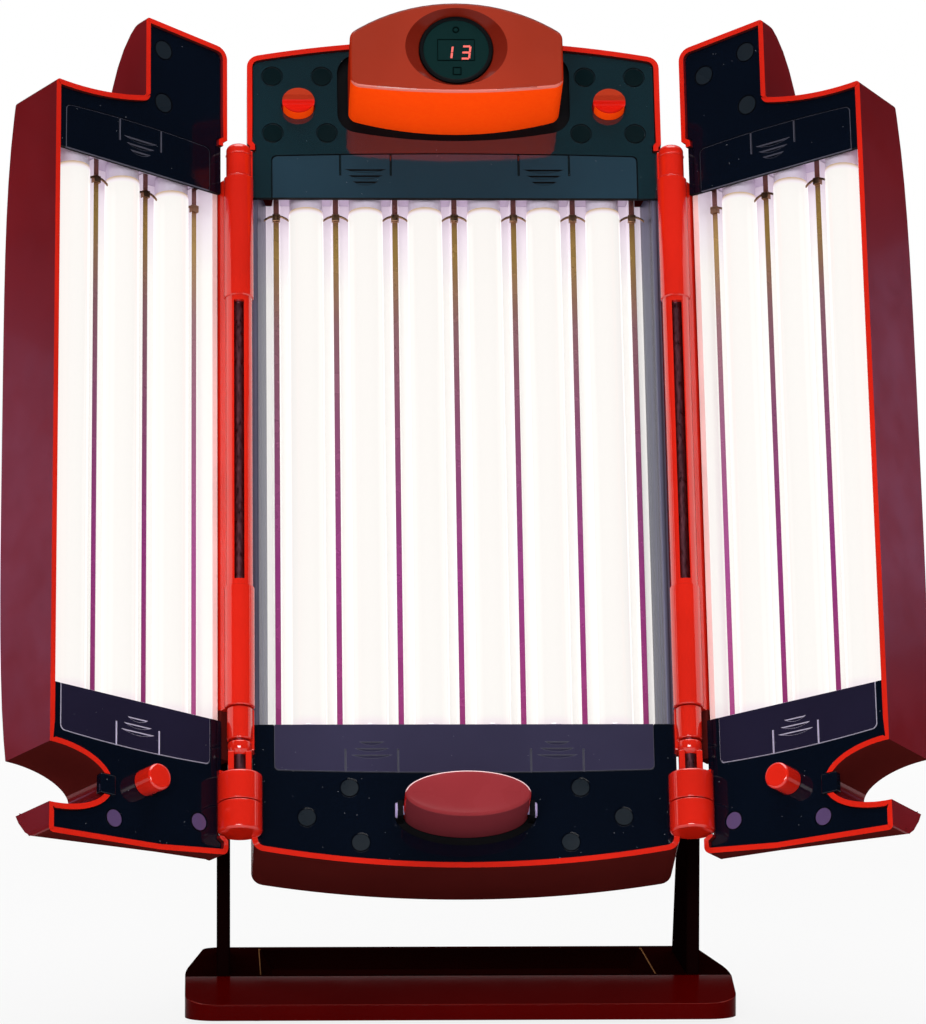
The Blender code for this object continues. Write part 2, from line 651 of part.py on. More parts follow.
def reflector(name, places, edges, front, parent, side=1):
    """A folded sheet behind the lamps: a ridge between each two lamps and a flared wall at each side."""
    back = front + REFLECTOR_BACK
    rise = front + PLATE + 2 * CLEAR + REFLECTOR_SHEET
    row_low, row_high = places[0] - LAMP_PITCH / 2, places[-1] + LAMP_PITCH / 2
    low, high = edges[0] + CLEAR + REFLECTOR_SHEET, edges[1] - CLEAR - REFLECTOR_SHEET
    points = [(low, rise), (max(low, row_low) + REFLECTOR_SHEET, back)]
    for place in places[:-1]:
        ridge = place + LAMP_PITCH / 2
        points += [(ridge - RIDGE_WIDTH / 2, back), (ridge, back - RIDGE_HEIGHT),
                   (ridge + RIDGE_WIDTH / 2, back)]
    points += [(min(high, row_high) - REFLECTOR_SHEET, back), (high, rise)]
    shape = bmesh.new()
    chain = [shape.verts.new((side * x, y, -REFLECTOR_LENGTH / 2)) for x, y in points]
    edges_made = [shape.edges.new(pair) for pair in zip(chain, chain[1:])]
    drawn = bmesh.ops.extrude_edge_only(shape, edges=edges_made)
    moved = [v for v in drawn["geom"] if isinstance(v, bmesh.types.BMVert)]
    bmesh.ops.translate(shape, verts=moved, vec=(0, 0, REFLECTOR_LENGTH))
    bmesh.ops.recalc_face_normals(shape, faces=shape.faces)
    mesh = bpy.data.meshes.new(name)
    shape.to_mesh(mesh)
    shape.free()
    obj = add(name, mesh, parent, ALUMINIUM)
    sheet = obj.modifiers.new("sheet", "SOLIDIFY")
    sheet.thickness = REFLECTOR_SHEET
    sheet.offset = 0
    sheet.use_even_offset = True
    return obj


def cover_outline(low, high, way, gap=0.0):
    """Outline of a lamp cover between two edges, with its far edge a little arched."""
    near, far = way * (WINDOW_EDGE - gap), way * (COVER_EDGE + gap)
    crest = ((low + high) / 2, far + way * COVER_ARCH)
    crown = arc((low - gap, far), crest, (high + gap, far), LONG_ARC_STEPS)
    return [(high + gap, near), (low - gap, near)] + crown


def cover(name, low, high, way, front, parent, side=1):
    """A snap-in lamp cover at one end of the window."""
    points = cover_outline(low, high, way)
    return add(name, slab(points, front, front + PLATE, side=side), parent, BLACK_GLOSS)


def fascia(name, drawn, low, high, way, front, parent, side=1):
    """The plate between the window and the rim at one end, cut out for its lamp cover."""
    reach = 2 * HINGE_X
    obj = add(name, slab(drawn(FASCIA_INSET), front, front + PLATE, side=side), parent, BLACK_GLOSS)
    near, far = sorted((way * WINDOW_EDGE, way * 2 * LAMP_LENGTH))
    trim(obj, box((-reach, front - CUT, near), (reach, front + PLATE + CUT, far)))
    hole = cover_outline(low, high, way, CLEAR)
    cut(obj, slab(hole, front - CUT, front + PLATE + CUT, side=side))
    return obj


# Hinges

def knuckle(obj, side, bottom, top, diameter, wall_x, wall_low, axis_y):
    """A round knuckle on the hinge axis with a web to the wall that carries it, made one with a shell."""
    join(obj, rod((side, axis_y), bottom, top, diameter), "MANIFOLD")
    across = sorted((side, wall_x))
    join(obj, box((across[0], axis_y, bottom), (across[1], wall_low, top)), "MANIFOLD")


def hinge_bore(obj, side, axis_y):
    """The bore for a hinge pin, closed at the top."""
    cut(obj, rod((side, axis_y), KNUCKLE_BOTTOM - CUT, EAR_TOP_Z - WALL, 2 * PIN_BORE), "MANIFOLD")


def hinge_pin(side, name):
    """A steel pin through all the knuckles of one hinge."""
    mesh = rod((side * HINGE_X, -HINGE_FORWARD), KNUCKLE_BOTTOM + CLEAR, EAR_TOP_Z - WALL - CLEAR,
               HINGE_PIN_DIAMETER)
    return add(f"{name}_hinge_pin", mesh, FACE, DARK_STEEL)


def hinge_barrel(side, name):
    """The long barrel on a wing's edge, with a slot in the middle that shows the pin."""
    wing = WINGS[side]
    barrel = rod((0, 0), BARREL_BOTTOM_Z, BARREL_TOP_Z, BARREL_DIAMETER)
    obj = add(f"{name}_hinge_barrel", barrel, wing, RED_GLOSS)
    wall = HINGE_SETBACK - CLEAR
    web_front = HINGE_FORWARD - RIM_PROUD
    across = sorted((0, side * wall))
    web_back = web_front + BARREL_WEB_DEPTH
    join(obj, box((across[0], 0, BARREL_BOTTOM_Z), (across[1], web_back, BARREL_TOP_Z)))
    cut(obj, rod((0, 0), BARREL_BOTTOM_Z - CUT, BARREL_TOP_Z + CUT, 2 * PIN_BORE))
    half = BARREL_SLOT_WIDTH / 2
    slot = box((-half, -BARREL_DIAMETER, BARREL_SLOT_BOTTOM), (half, 0, BARREL_SLOT_TOP))
    slot.transform(Matrix.Rotation(side * WING_SWING, 4, "Z"))
    cut(obj, slot)
    return obj


# Centre panel

def centre_shell():
    """Back shell of the centre panel with its hinge knuckles, pivot bosses and power inlet pad."""
    span = (CENTRE_BOTTOM_CORNER_Z - CENTRE_BOTTOM_DROP - CENTRE_BOW_BELOW,
            CENTRE_TOP_CORNER_Z + CENTRE_TOP_RISE)
    roots = (CENTRE_ROOT_BOTTOM, CENTRE_ROOT_TOP)
    obj = shell("centre_back_shell", centre_outline, -RIM_PROUD, span, CENTRE_DEPTH, roots, FACE)
    wall = HINGE_X - HINGE_SETBACK
    web = -RIM_PROUD + EAR_DIAMETER / 2
    pivot = (PIVOT_DEPTH, PIVOT_DOWN_PANEL)
    for side in (-1, 1):
        swept = rod((side * HINGE_X, -HINGE_FORWARD), KNUCKLE_SPLIT - KNUCKLE_GAP / 2,
                    KNUCKLE_TOP_Z + SWING_GAP, KNUCKLE_DIAMETER + 2 * SWING_GAP)
        cut(obj, swept)
        axis = side * HINGE_X
        for low, high, diameter in (
            (BARREL_TOP_Z + KNUCKLE_GAP, EAR_TOP_Z, EAR_DIAMETER),
            (NECK_BOTTOM_Z, BARREL_BOTTOM_Z - KNUCKLE_GAP, EAR_DIAMETER),
            (KNUCKLE_BOTTOM, KNUCKLE_SPLIT - KNUCKLE_GAP, KNUCKLE_DIAMETER),
        ):
            knuckle(obj, axis, low, high, diameter, side * (wall - WALL / 2), web, -HINGE_FORWARD)
        hinge_bore(obj, axis, -HINGE_FORWARD)
        ends = sorted((side * (wall - WALL / 2), side * (wall + PIVOT_BOSS_LENGTH)))
        join(obj, rod(pivot, *ends, PIVOT_BOSS_DIAMETER, "X"))
        ends = sorted((side * (wall - 2 * WALL), side * (wall + PIVOT_BOSS_LENGTH + CUT)))
        cut(obj, rod(pivot, *ends, PIVOT_BOLT_DIAMETER + 2 * CLEAR, "X"))
    cut(obj, slab(timer_outline(-CLEAR), -RIM_PROUD - CUT, PLATE + CLEAR), "MANIFOLD")
    wide, high = INLET_WIDTH / 2 + INLET_FLANGE, INLET_HEIGHT / 2 + INLET_FLANGE
    join(obj, box((-wide, CENTRE_DEPTH - 3 * WALL, INLET_UP - high),
                  (wide, CENTRE_DEPTH + INLET_PAD_PROUD, INLET_UP + high)))
    wide, high = INLET_WIDTH / 2 + CLEAR, INLET_HEIGHT / 2 + CLEAR
    cut(obj, box((-wide, CENTRE_DEPTH - 4 * WALL, INLET_UP - high),
                 (wide, CENTRE_DEPTH + INLET_PAD_PROUD + CUT, INLET_UP + high)))
    return obj


def power_inlet():
    """Mains inlet socket in the pad on the back of the centre shell."""
    face = CENTRE_DEPTH + INLET_PAD_PROUD + CLEAR
    wide, high = INLET_WIDTH / 2, INLET_HEIGHT / 2
    body = box((-wide, face - INLET_LENGTH, INLET_UP - high), (wide, face + CUT, INLET_UP + high))
    obj = add("power_inlet", body, FACE, BLACK_MATTE)
    join(obj, box((-wide - INLET_FLANGE, face, INLET_UP - high - INLET_FLANGE),
                  (wide + INLET_FLANGE, face + INLET_FLANGE_THICKNESS, INLET_UP + high + INLET_FLANGE)))
    wide, high = wide - WALL, high - WALL
    cut(obj, box((-wide, face - INLET_LENGTH + WALL, INLET_UP - high),
                 (wide, face + 2 * WALL, INLET_UP + high)))
    return obj


def button_hole(obj, side):
    """The hole in the upper fascia that a push button travels in."""
    place = (side * BUTTON_ACROSS, BUTTON_HEIGHT_Z)
    cut(obj, rod(place, -CUT, PLATE + CUT, BUTTON_DIAMETER + 2 * CLEAR, "Y"))


def push_button(side, name):
    """A round push button with a rounded face and a flange behind the fascia."""
    radius = BUTTON_DIAMETER / 2
    rim = radius + BUTTON_FLANGE
    shoulder = PLATE + CLEAR
    profile = [(0, BUTTON_PROUD)]
    for i in range(ARC_STEPS + 1):
        angle = math.pi / 2 * (1 - i / ARC_STEPS)
        profile.append((radius - BUTTON_ROUND + BUTTON_ROUND * math.cos(angle),
                        BUTTON_PROUD - BUTTON_ROUND + BUTTON_ROUND * math.sin(angle)))
    flange_back, end = -shoulder - BUTTON_FLANGE, -shoulder - BUTTON_STEM
    profile += [(radius, -shoulder), (rim, -shoulder), (rim, flange_back), (radius, flange_back)]
    profile += [(radius, end), (0, end)]
    mesh = turned(profile, TUBE_SIDES)
    origin = (side * BUTTON_ACROSS, 0, BUTTON_HEIGHT_Z)
    mesh.transform(Matrix.Translation(origin) @ Matrix.Rotation(math.pi / 2, 4, "X"))
    return add(f"{name}_push_button", mesh, FACE, RED_GLOSS, origin)


def timer():
    """Timer seat, housing, display and board."""
    seat_front = PLATE + CLEAR
    plate = slab(timer_outline(-TIMER_RECESS - WALL), seat_front, seat_front + PLATE)
    seat = add("timer_seat", plate, FACE, BLACK_MATTE)
    trim(seat, slab(centre_outline(FASCIA_INSET + WALL), seat_front - CUT, seat_front + PLATE + CUT))
    housing = add("timer_housing", slab(timer_outline(), -TIMER_PROUD, seat_front - CLEAR), FACE, RED_GLOSS)
    cut(housing, slab(timer_outline(WALL), -TIMER_PROUD + TIMER_FACE, seat_front + CUT))
    face = -TIMER_PROUD
    place = (0, DISPLAY_HEIGHT_Z)
    dish = rod((0, 0), face - CUT, face + DISPLAY_SUNK, DISPLAY_RING_WIDTH + 2 * CUT, "Y",
               end_diameter=DISPLAY_DIAMETER + 2 * CLEAR)
    flatter = Matrix.Diagonal((1, 1, DISPLAY_RING_HEIGHT / DISPLAY_RING_WIDTH, 1))
    dish.transform(Matrix.Translation((0, 0, DISPLAY_HEIGHT_Z)) @ flatter)
    cut(housing, dish)
    cut(housing, rod(place, face, face + TIMER_FACE + CUT, DISPLAY_DIAMETER + 2 * CLEAR, "Y"))
    front = face + DISPLAY_SUNK - CLEAR
    window = rod(place, front, front + DISPLAY_THICKNESS, DISPLAY_DIAMETER, "Y")
    add("timer_display", window, FACE, BLACK_GLOSS)
    wide, high = BOARD_WIDTH / 2, BOARD_HEIGHT / 2
    board_front = front + DISPLAY_THICKNESS + CLEAR
    board = box((-wide, board_front, DISPLAY_HEIGHT_Z - high),
                (wide, board_front + BOARD_THICKNESS, DISPLAY_HEIGHT_Z + high))
    add("timer_board", board, FACE, BOARD_GREEN)


def latch_well(gap=0.0):
    """Outline of the well that the latch stands in."""
    grow = LATCH_WELL_GAP + gap
    return ellipse(0, LATCH_HEIGHT_Z, LATCH_HALF_WIDTH + grow, LATCH_HALF_HEIGHT + grow)


def latch():
    """Release latch on a cross pin, held by two ears of its seat."""
    pin_y = -LATCH_PIN_PROUD
    axis = (pin_y, LATCH_HEIGHT_Z)
    body = slab(ellipse(0, LATCH_HEIGHT_Z, LATCH_HALF_WIDTH, LATCH_HALF_HEIGHT), -LATCH_PROUD, LATCH_HEM)
    obj = add("release_latch", body, FACE, RED_GLOSS, (0, pin_y, LATCH_HEIGHT_Z))
    reach = LATCH_HALF_WIDTH + CLEAR + LATCH_EAR_THICKNESS
    hole = LATCH_PIN_DIAMETER + 2 * CLEAR
    cut(obj, rod(axis, -reach, reach, hole, "X", SMALL_SIDES))
    add("latch_pin", rod(axis, -reach, reach, LATCH_PIN_DIAMETER, "X", SMALL_SIDES), FACE, STEEL)
    seat_front = PLATE + CLEAR
    seat = add("latch_seat", slab(latch_well(WALL), seat_front, seat_front + PLATE), FACE, BLACK_MATTE)
    for side in (-1, 1):
        ends = sorted((side * (LATCH_HALF_WIDTH + CLEAR), side * reach))
        ear = box((ends[0], pin_y - LATCH_EAR_WIDTH / 2, LATCH_HEIGHT_Z - LATCH_EAR_WIDTH / 2),
                  (ends[1], seat_front + CUT, LATCH_HEIGHT_Z + LATCH_EAR_WIDTH / 2))
        join(seat, ear)
    cut(seat, rod(axis, -reach - CUT, reach + CUT, hole, "X", SMALL_SIDES))


def ballast():
    """Ballast block on the back of the lamp chassis."""
    front = SPINE_BACK + CLEAR
    add("lamp_ballast", box((-BALLAST_WIDTH / 2, front, -BALLAST_HEIGHT / 2),
                            (BALLAST_WIDTH / 2, front + BALLAST_THICKNESS, BALLAST_HEIGHT / 2)), FACE, STEEL)


def centre_panel():
    """Everything that tilts with the panel, apart from the wings."""
    centre_shell()
    half = CENTRE_ROW / 2 + LAMP_ROW_MARGIN - WALL
    low, high = -half + COVER_MARGIN, half - COVER_MARGIN
    for way, name in ((1, "top"), (-1, "bottom")):
        plate = fascia(f"centre_{name}_fascia", centre_outline, low, high, way, 0, FACE)
        cover(f"centre_{name}_lamp_cover", low, high, way, 0, FACE)
        if way > 0:
            cut(plate, slab(timer_outline(-TIMER_RECESS), -CUT, PLATE + CUT))
            for side in (-1, 1):
                button_hole(plate, side)
        else:
            cut(plate, slab(latch_well(), -CUT, PLATE + CUT))
    places = lamp_places(CENTRE_LAMPS, 0)
    for i, place in enumerate(places):
        lamp(f"centre_lamp_{i + 1}", place, LAMP_DEPTH, FACE)
    chassis("centre_lamp_chassis", places, 0, 0, FACE)
    reflector("centre_reflector", places, (-half, half), 0, FACE)
    timer()
    latch()
    ballast()
    power_inlet()
    for side, name in ((-1, "left"), (1, "right")):
        push_button(side, name)
        hinge_pin(side, name)


# Wings

def wing_shell(side, name):
    """Back shell of a wing with the hinge knuckle that turns on the pin."""
    wing = WINGS[side]
    front = HINGE_FORWARD - RIM_PROUD
    span = (WING_BOTTOM_FREE_Z, WING_TOP_TIP_Z)
    roots = (WING_ROOT_BOTTOM, WING_ROOT_TOP)
    node = f"{name}_wing_back_shell"
    obj = shell(node, wing_outline, front, span, WING_DEPTH, roots, wing, side, WING_FOOT_RISE)
    ends = sorted((side * (CATCH_FACE - FASCIA_INSET - CUT), side * (CATCH_FACE + CATCH_WIDTH)))
    gap = CATCH_HEIGHT / 2 + CLEAR
    cut(obj, box((ends[0], front - CUT, LATCH_HEIGHT_Z - gap),
                 (ends[1], HINGE_FORWARD + PLATE + CLEAR, LATCH_HEIGHT_Z + gap)))
    swept = rod((0, 0), KNUCKLE_BOTTOM - SWING_GAP, KNUCKLE_SPLIT - KNUCKLE_GAP / 2,
                KNUCKLE_DIAMETER + 2 * SWING_GAP)
    cut(obj, swept, "MANIFOLD")
    knuckle(obj, 0, KNUCKLE_SPLIT, KNUCKLE_TOP_Z, KNUCKLE_DIAMETER, side * (HINGE_SETBACK + WALL / 2),
            front + EAR_DIAMETER / 2, 0)
    hinge_bore(obj, 0, 0)
    return obj


def stop_peg(side, name):
    """A round peg on a wing's lower fascia, which meets the centre fascia when the wing is shut."""
    wing = WINGS[side]
    place = (side * PEG_ACROSS, PEG_HEIGHT_Z)
    tip = -HINGE_FORWARD + PEG_END_GAP
    foot = HINGE_FORWARD - CLEAR
    obj = add(f"{name}_stop_peg", rod(place, tip, foot, PEG_DIAMETER, "Y"), wing, RED_GLOSS)
    join(obj, rod(place, foot - CUT, foot + PEG_STEM, PEG_STEM_DIAMETER, "Y", SMALL_SIDES))
    return obj


def wing(side, name):
    """Everything that swings with one wing."""
    holder = WINGS[side]
    front = HINGE_FORWARD
    wing_shell(side, name)
    edges = (HINGE_SETBACK + WALL, WING_REACH - WALL)
    low, high = edges[0] + CLEAR + COVER_MARGIN / 2, edges[1] - CLEAR - COVER_MARGIN / 2
    for way, end in ((1, "top"), (-1, "bottom")):
        plate = fascia(f"{name}_wing_{end}_fascia", wing_outline, low, high, way, front, holder, side)
        cover(f"{name}_wing_{end}_lamp_cover", low, high, way, front, holder, side)
        if way < 0:
            place = (side * PEG_ACROSS, PEG_HEIGHT_Z)
            hole = PEG_STEM_DIAMETER + 2 * CLEAR
            cut(plate, rod(place, front - CUT, front + PLATE + CUT, hole, "Y", SMALL_SIDES))
            ends = sorted((side * CATCH_FACE, side * (CATCH_FACE - CATCH_WIDTH)))
            join(plate, box((ends[0], front - CATCH_PROUD, LATCH_HEIGHT_Z - CATCH_HEIGHT / 2),
                            (ends[1], front + PLATE - CLEAR, LATCH_HEIGHT_Z + CATCH_HEIGHT / 2)))
    middle = (edges[0] + edges[1]) / 2
    places = lamp_places(WING_LAMPS, middle)
    for i, place in enumerate(places):
        lamp(f"{name}_wing_lamp_{i + 1}", side * place, front + LAMP_DEPTH, holder)
    mirrored = sorted(side * place for place in places)
    chassis(f"{name}_wing_lamp_chassis", mirrored, side * middle, front, holder)
    reflector(f"{name}_wing_reflector", places, edges, front, holder, side)
    hinge_barrel(side, name)
    stop_peg(side, name)


# Stand

def base():
    """Base tray with a sloped front bar, its weight plate and four rubber feet."""
    front, back = -BASE_DEPTH / 2, BASE_DEPTH / 2
    wide, narrow = BASE_FRONT_WIDTH / 2, BASE_BACK_WIDTH / 2
    plan = outline([(-wide, front, BASE_FRONT_ROUND), (wide, front, BASE_FRONT_ROUND),
                    (wide, BASE_SIDE_BEND, BASE_SIDE_ROUND), (narrow, back, BASE_BACK_ROUND),
                    (-narrow, back, BASE_BACK_ROUND), (-wide, BASE_SIDE_BEND, BASE_SIDE_ROUND)])
    obj = add("base_tray", slab(plan, FOOT_HEIGHT, BASE_TOP, "Z"), STAND, DARK_GLOSS)
    ridge = front + BAR_DEPTH
    lip = FOOT_HEIGHT + BASE_FRONT_HEIGHT
    under, over = FOOT_HEIGHT - CUT, BASE_TOP + CUT
    profile = [(front - CUT, under), (back + CUT, under), (back + CUT, over), (ridge + CUT, over),
               (ridge, BASE_TOP), (front, lip), (front - CUT, lip)]
    trim(obj, slab(profile, -BASE_FRONT_WIDTH, BASE_FRONT_WIDTH, "X"))
    floor = BASE_TOP - TRAY_DEPTH
    inner = TRAY_HALF_WIDTH - TRAY_SLOPE
    tray = [(-inner, floor), (inner, floor), (TRAY_HALF_WIDTH, BASE_TOP), (TRAY_HALF_WIDTH, BASE_TOP + CUT),
            (-TRAY_HALF_WIDTH, BASE_TOP + CUT), (-TRAY_HALF_WIDTH, BASE_TOP)]
    cut(obj, slab(tray, ridge + TRAY_GAP, back - TRAY_BACK_RIM))
    for side in (-1, 1):
        x0, x1 = sorted((side * (ARM_INNER - CLEAR), side * (ARM_INNER + ARM_THICKNESS + CLEAR)))
        start = PIVOT_BACK - ARM_TOP_RADIUS - CLEAR
        end = start + ARM_FOOT_DEPTH + 2 * CLEAR
        cut(obj, box((x0, start, BASE_TOP - ARM_TENON - CLEAR), (x1, end, BASE_TOP + CUT)))
    margin = WEIGHT_MARGIN
    pocket = narrow - margin
    cut(obj, box((-pocket - CLEAR, front + margin - CLEAR, FOOT_HEIGHT - CUT),
                 (pocket + CLEAR, back - margin + CLEAR, FOOT_HEIGHT + WEIGHT_THICKNESS + CLEAR)))
    add("base_weight_plate", box((-pocket, front + margin, FOOT_HEIGHT),
                                 (pocket, back - margin, FOOT_HEIGHT + WEIGHT_THICKNESS)), STAND, STEEL)
    for way, end in ((-1, "front"), (1, "back")):
        for side, name in ((-1, "left"), (1, "right")):
            place = (side * (pocket - FOOT_INSET), way * (BASE_DEPTH / 2 - margin - FOOT_INSET))
            add(f"{end}_{name}_foot", rod(place, 0, FOOT_HEIGHT - CLEAR, FOOT_DIAMETER), STAND, RUBBER)


def arm(side, name):
    """A flat upright arm, straight in front and flared to the back at its foot, with its pivot bolt."""
    front = PIVOT_BACK - ARM_TOP_RADIUS
    top = PIVOT_HEIGHT + ARM_TOP_RADIUS
    foot = BASE_TOP - ARM_TENON
    narrow = front + 2 * ARM_TOP_RADIUS
    almost_round = ARM_TOP_RADIUS - CLEAR
    flare = ARM_FOOT_DEPTH - ARM_FLARE_DEPTH
    corners = [
        (front, foot, 0.0), (front + ARM_FOOT_DEPTH, foot, 0.0),
        (front + ARM_FOOT_DEPTH, BASE_TOP + CLEAR, 0.0),
        (front + ARM_FLARE_DEPTH, BASE_TOP + ARM_FLARE_HEIGHT, 2 * flare),
        (narrow, BASE_TOP + ARM_STRAIGHT_HEIGHT, flare),
        (narrow, top, almost_round), (front, top, almost_round),
    ]
    ends = sorted((side * ARM_INNER, side * (ARM_INNER + ARM_THICKNESS)))
    obj = add(f"{name}_arm", slab(outline(corners), *ends, "X"), STAND, DARK_GLOSS)
    pivot = (PIVOT_BACK, PIVOT_HEIGHT)
    ends = sorted((side * (ARM_INNER - CUT), side * (ARM_INNER + ARM_THICKNESS + CUT)))
    cut(obj, rod(pivot, *ends, PIVOT_BOLT_DIAMETER + 2 * CLEAR, "X"))
    seat = ARM_INNER + ARM_THICKNESS + CLEAR
    tip = CENTRE_ROW / 2 + LAMP_ROW_MARGIN
    ends = sorted((side * tip, side * (seat + CUT)))
    bolt = add(f"{name}_pivot_bolt", rod(pivot, *ends, PIVOT_BOLT_DIAMETER, "X"), STAND, STEEL)
    ends = sorted((side * seat, side * (seat + PIVOT_HEAD_HEIGHT)))
    join(bolt, rod(pivot, *ends, PIVOT_HEAD_DIAMETER, "X"))


def main():
    """Builds the stand, the panel and the two wings."""
    base()
    centre_panel()
    for side, name in ((-1, "left"), (1, "right")):
        arm(side, name)
        wing(side, name)


main()
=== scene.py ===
"""Looks of a tri-fold facial tanner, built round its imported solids.

Metres, +Z up. Panel pieces are drawn in the panel's frame: X across, Y back from the fascia, Z up along the
panel, with the origin in the middle of the lamp window. Wing pieces are drawn outwards from their hinge axis,
and stand pieces from the middle of the base.
"""

import json
import logging
import math
from dataclasses import dataclass
from enum import Enum
from typing import Callable, Iterable, Optional, Sequence

import bmesh
import bpy
from mathutils import Matrix, Vector


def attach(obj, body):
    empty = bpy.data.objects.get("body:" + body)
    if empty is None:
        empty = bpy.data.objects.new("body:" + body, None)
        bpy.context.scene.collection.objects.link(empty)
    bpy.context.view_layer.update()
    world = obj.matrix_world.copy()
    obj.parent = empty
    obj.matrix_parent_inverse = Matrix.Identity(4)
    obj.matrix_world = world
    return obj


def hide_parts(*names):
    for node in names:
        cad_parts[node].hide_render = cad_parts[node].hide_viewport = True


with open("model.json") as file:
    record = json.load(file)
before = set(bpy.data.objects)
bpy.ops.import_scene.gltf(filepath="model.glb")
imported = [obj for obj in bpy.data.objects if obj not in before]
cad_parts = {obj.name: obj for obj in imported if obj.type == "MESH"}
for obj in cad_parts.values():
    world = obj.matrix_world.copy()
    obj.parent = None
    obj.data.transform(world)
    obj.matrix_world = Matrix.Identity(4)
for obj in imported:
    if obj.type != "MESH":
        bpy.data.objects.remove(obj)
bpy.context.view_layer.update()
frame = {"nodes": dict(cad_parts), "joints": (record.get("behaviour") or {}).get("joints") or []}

LOG = logging.getLogger("facial_tanner")
MM = 0.001

Point = tuple[float, float]
Corner = tuple[float, float, float]
Colour = tuple[float, float, float]
Limit = tuple[Optional[float], Optional[float]]
Face = bmesh.types.BMFace
FaceTest = Callable[[Face], bool]
Piece = bpy.types.Object
Socket = bpy.types.NodeSocket
FORWARDS = Matrix.Rotation(math.pi / 2, 4, "X")


class Named(Enum):
    """A choice whose name is part of the names of pieces."""

    @property
    def word(self) -> str:
        """The choice's name in lower case."""
        return self.name.lower()


class Side(Named):
    """The two sides of the object, as seen from the front."""

    LEFT = -1
    RIGHT = 1


class End(Named):
    """The two ends of a lamp window."""

    TOP = 1
    BOTTOM = -1


class Body(Enum):
    """The moving bodies that pieces ride on."""

    STAND = "stand"
    PANEL = "panel"
    LEFT_WING = "left_wing"
    RIGHT_WING = "right_wing"
    LEFT_BUTTON = "left_button"
    RIGHT_BUTTON = "right_button"
    LATCH = "latch"


class Plane(Enum):
    """The axis that a flat outline is given its thickness along."""

    ACROSS = Matrix(((0, 0, 1, 0), (1, 0, 0, 0), (0, 1, 0, 0), (0, 0, 0, 1)))
    BACK = Matrix(((1, 0, 0, 0), (0, 0, 1, 0), (0, 1, 0, 0), (0, 0, 0, 1)))
    UP = Matrix.Identity(4)


@dataclass(frozen=True)
class Sizes:
    """Sizes that several sub-assemblies share."""

    wall: float = 2.5 * MM
    plate: float = 2.2 * MM
    clear: float = 0.3 * MM
    rim: float = 1.5 * MM
    window: float = 128.7 * MM
    cover_height: float = 21.3 * MM
    cover_arch: float = 1.3 * MM
    cover_end: float = 152.5 * MM
    hinge: float = 100 * MM
    hinge_forward: float = 6.1 * MM
    setback: float = 5.3 * MM
    ear_top: float = 151.8 * MM
    zone_margin: float = 2.5 * MM
    edge_step: float = 1.5 * MM
    barrel_top: float = 135.4 * MM
    barrel_bottom: float = -123.3 * MM
    knuckle_radius: float = 10 * MM
    knuckle_top: float = -154.7 * MM
    knuckle_height: float = 13.4 * MM
    knuckle_gap: float = 0.5 * MM
    swing_gap: float = 0.8 * MM
    swing: float = math.radians(36)
    pivot_back: float = -18 * MM
    pivot_height: float = 221 * MM
    pivot_depth: float = 25 * MM
    pivot_down: float = -25 * MM
    lamp_pitch: float = 27.5 * MM
    lamp_depth: float = 13 * MM
    latch_height: float = -171 * MM
    latch_half_width: float = 27.7 * MM
    latch_half_height: float = 10.6 * MM
    timer_half_width: float = 49 * MM
    timer_lowest: float = 163 * MM
    timer_side_bottom: float = 168 * MM
    timer_side_top: float = 195 * MM
    timer_apex: float = 210.6 * MM

    @property
    def inset(self) -> float:
        """How far a fascia lies inside its shell's outline."""
        return self.wall + self.clear

    @property
    def knuckle_split(self) -> float:
        """Height where the wing's knuckle meets the panel's."""
        return self.knuckle_top - self.knuckle_height

    @property
    def knuckle_bottom(self) -> float:
        """Height of the lower knuckle's underside."""
        return self.knuckle_split - self.knuckle_gap - self.knuckle_height


SIZES = Sizes()


@dataclass(frozen=True)
class Frames:
    """The frames that pieces are drawn in."""

    stand: Matrix
    face: Matrix
    wings: dict[Side, Matrix]

    @classmethod
    def from_joints(cls, joints: Sequence[dict]) -> "Frames":
        """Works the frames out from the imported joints.

        Args:
            joints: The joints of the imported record.

        Returns:
            The frames of the stand, the panel and both wings at rest.
        """
        named = {joint["name"]: joint for joint in joints}
        axis = Vector(named["left_wing_swing"]["axis"])
        turn = Matrix.Rotation(-math.atan2(axis.y, axis.z), 4, "X")
        hinge = Vector(named["left_wing_swing"]["pos_m"])
        origin = hinge - turn @ Vector((-SIZES.hinge, -SIZES.hinge_forward, 0))
        face = Matrix.Translation(origin) @ turn
        wings = {}
        for side in Side:
            place = Matrix.Translation((side.value * SIZES.hinge, -SIZES.hinge_forward, 0))
            wings[side] = face @ place @ Matrix.Rotation(-side.value * SIZES.swing, 4, "Z")
        back = named["panel_tilt"]["pos_m"][1] - SIZES.pivot_back
        return cls(Matrix.Translation((0, back, 0)), face, wings)


# Outlines

def arc(first: Point, middle: Point, last: Point, steps: int = 16) -> list[Point]:
    """Points of the circle through three points.

    Args:
        first: Where the arc starts.
        middle: A point that it passes through.
        last: Where it ends.
        steps: How many straight steps it has.

    Returns:
        The points from first to last.
    """
    (ax, ay), (bx, by), (cx, cy) = first, middle, last
    twice = 2 * (ax * (by - cy) + bx * (cy - ay) + cx * (ay - by))
    a2, b2, c2 = ax * ax + ay * ay, bx * bx + by * by, cx * cx + cy * cy
    ox = (a2 * (by - cy) + b2 * (cy - ay) + c2 * (ay - by)) / twice
    oy = (a2 * (cx - bx) + b2 * (ax - cx) + c2 * (bx - ax)) / twice
    radius = math.hypot(ax - ox, ay - oy)
    start = math.atan2(ay - oy, ax - ox)
    sweep = (math.atan2(cy - oy, cx - ox) - start + math.pi) % math.tau - math.pi
    angles = [start + sweep * i / steps for i in range(steps + 1)]
    return [(ox + radius * math.cos(a), oy + radius * math.sin(a)) for a in angles]


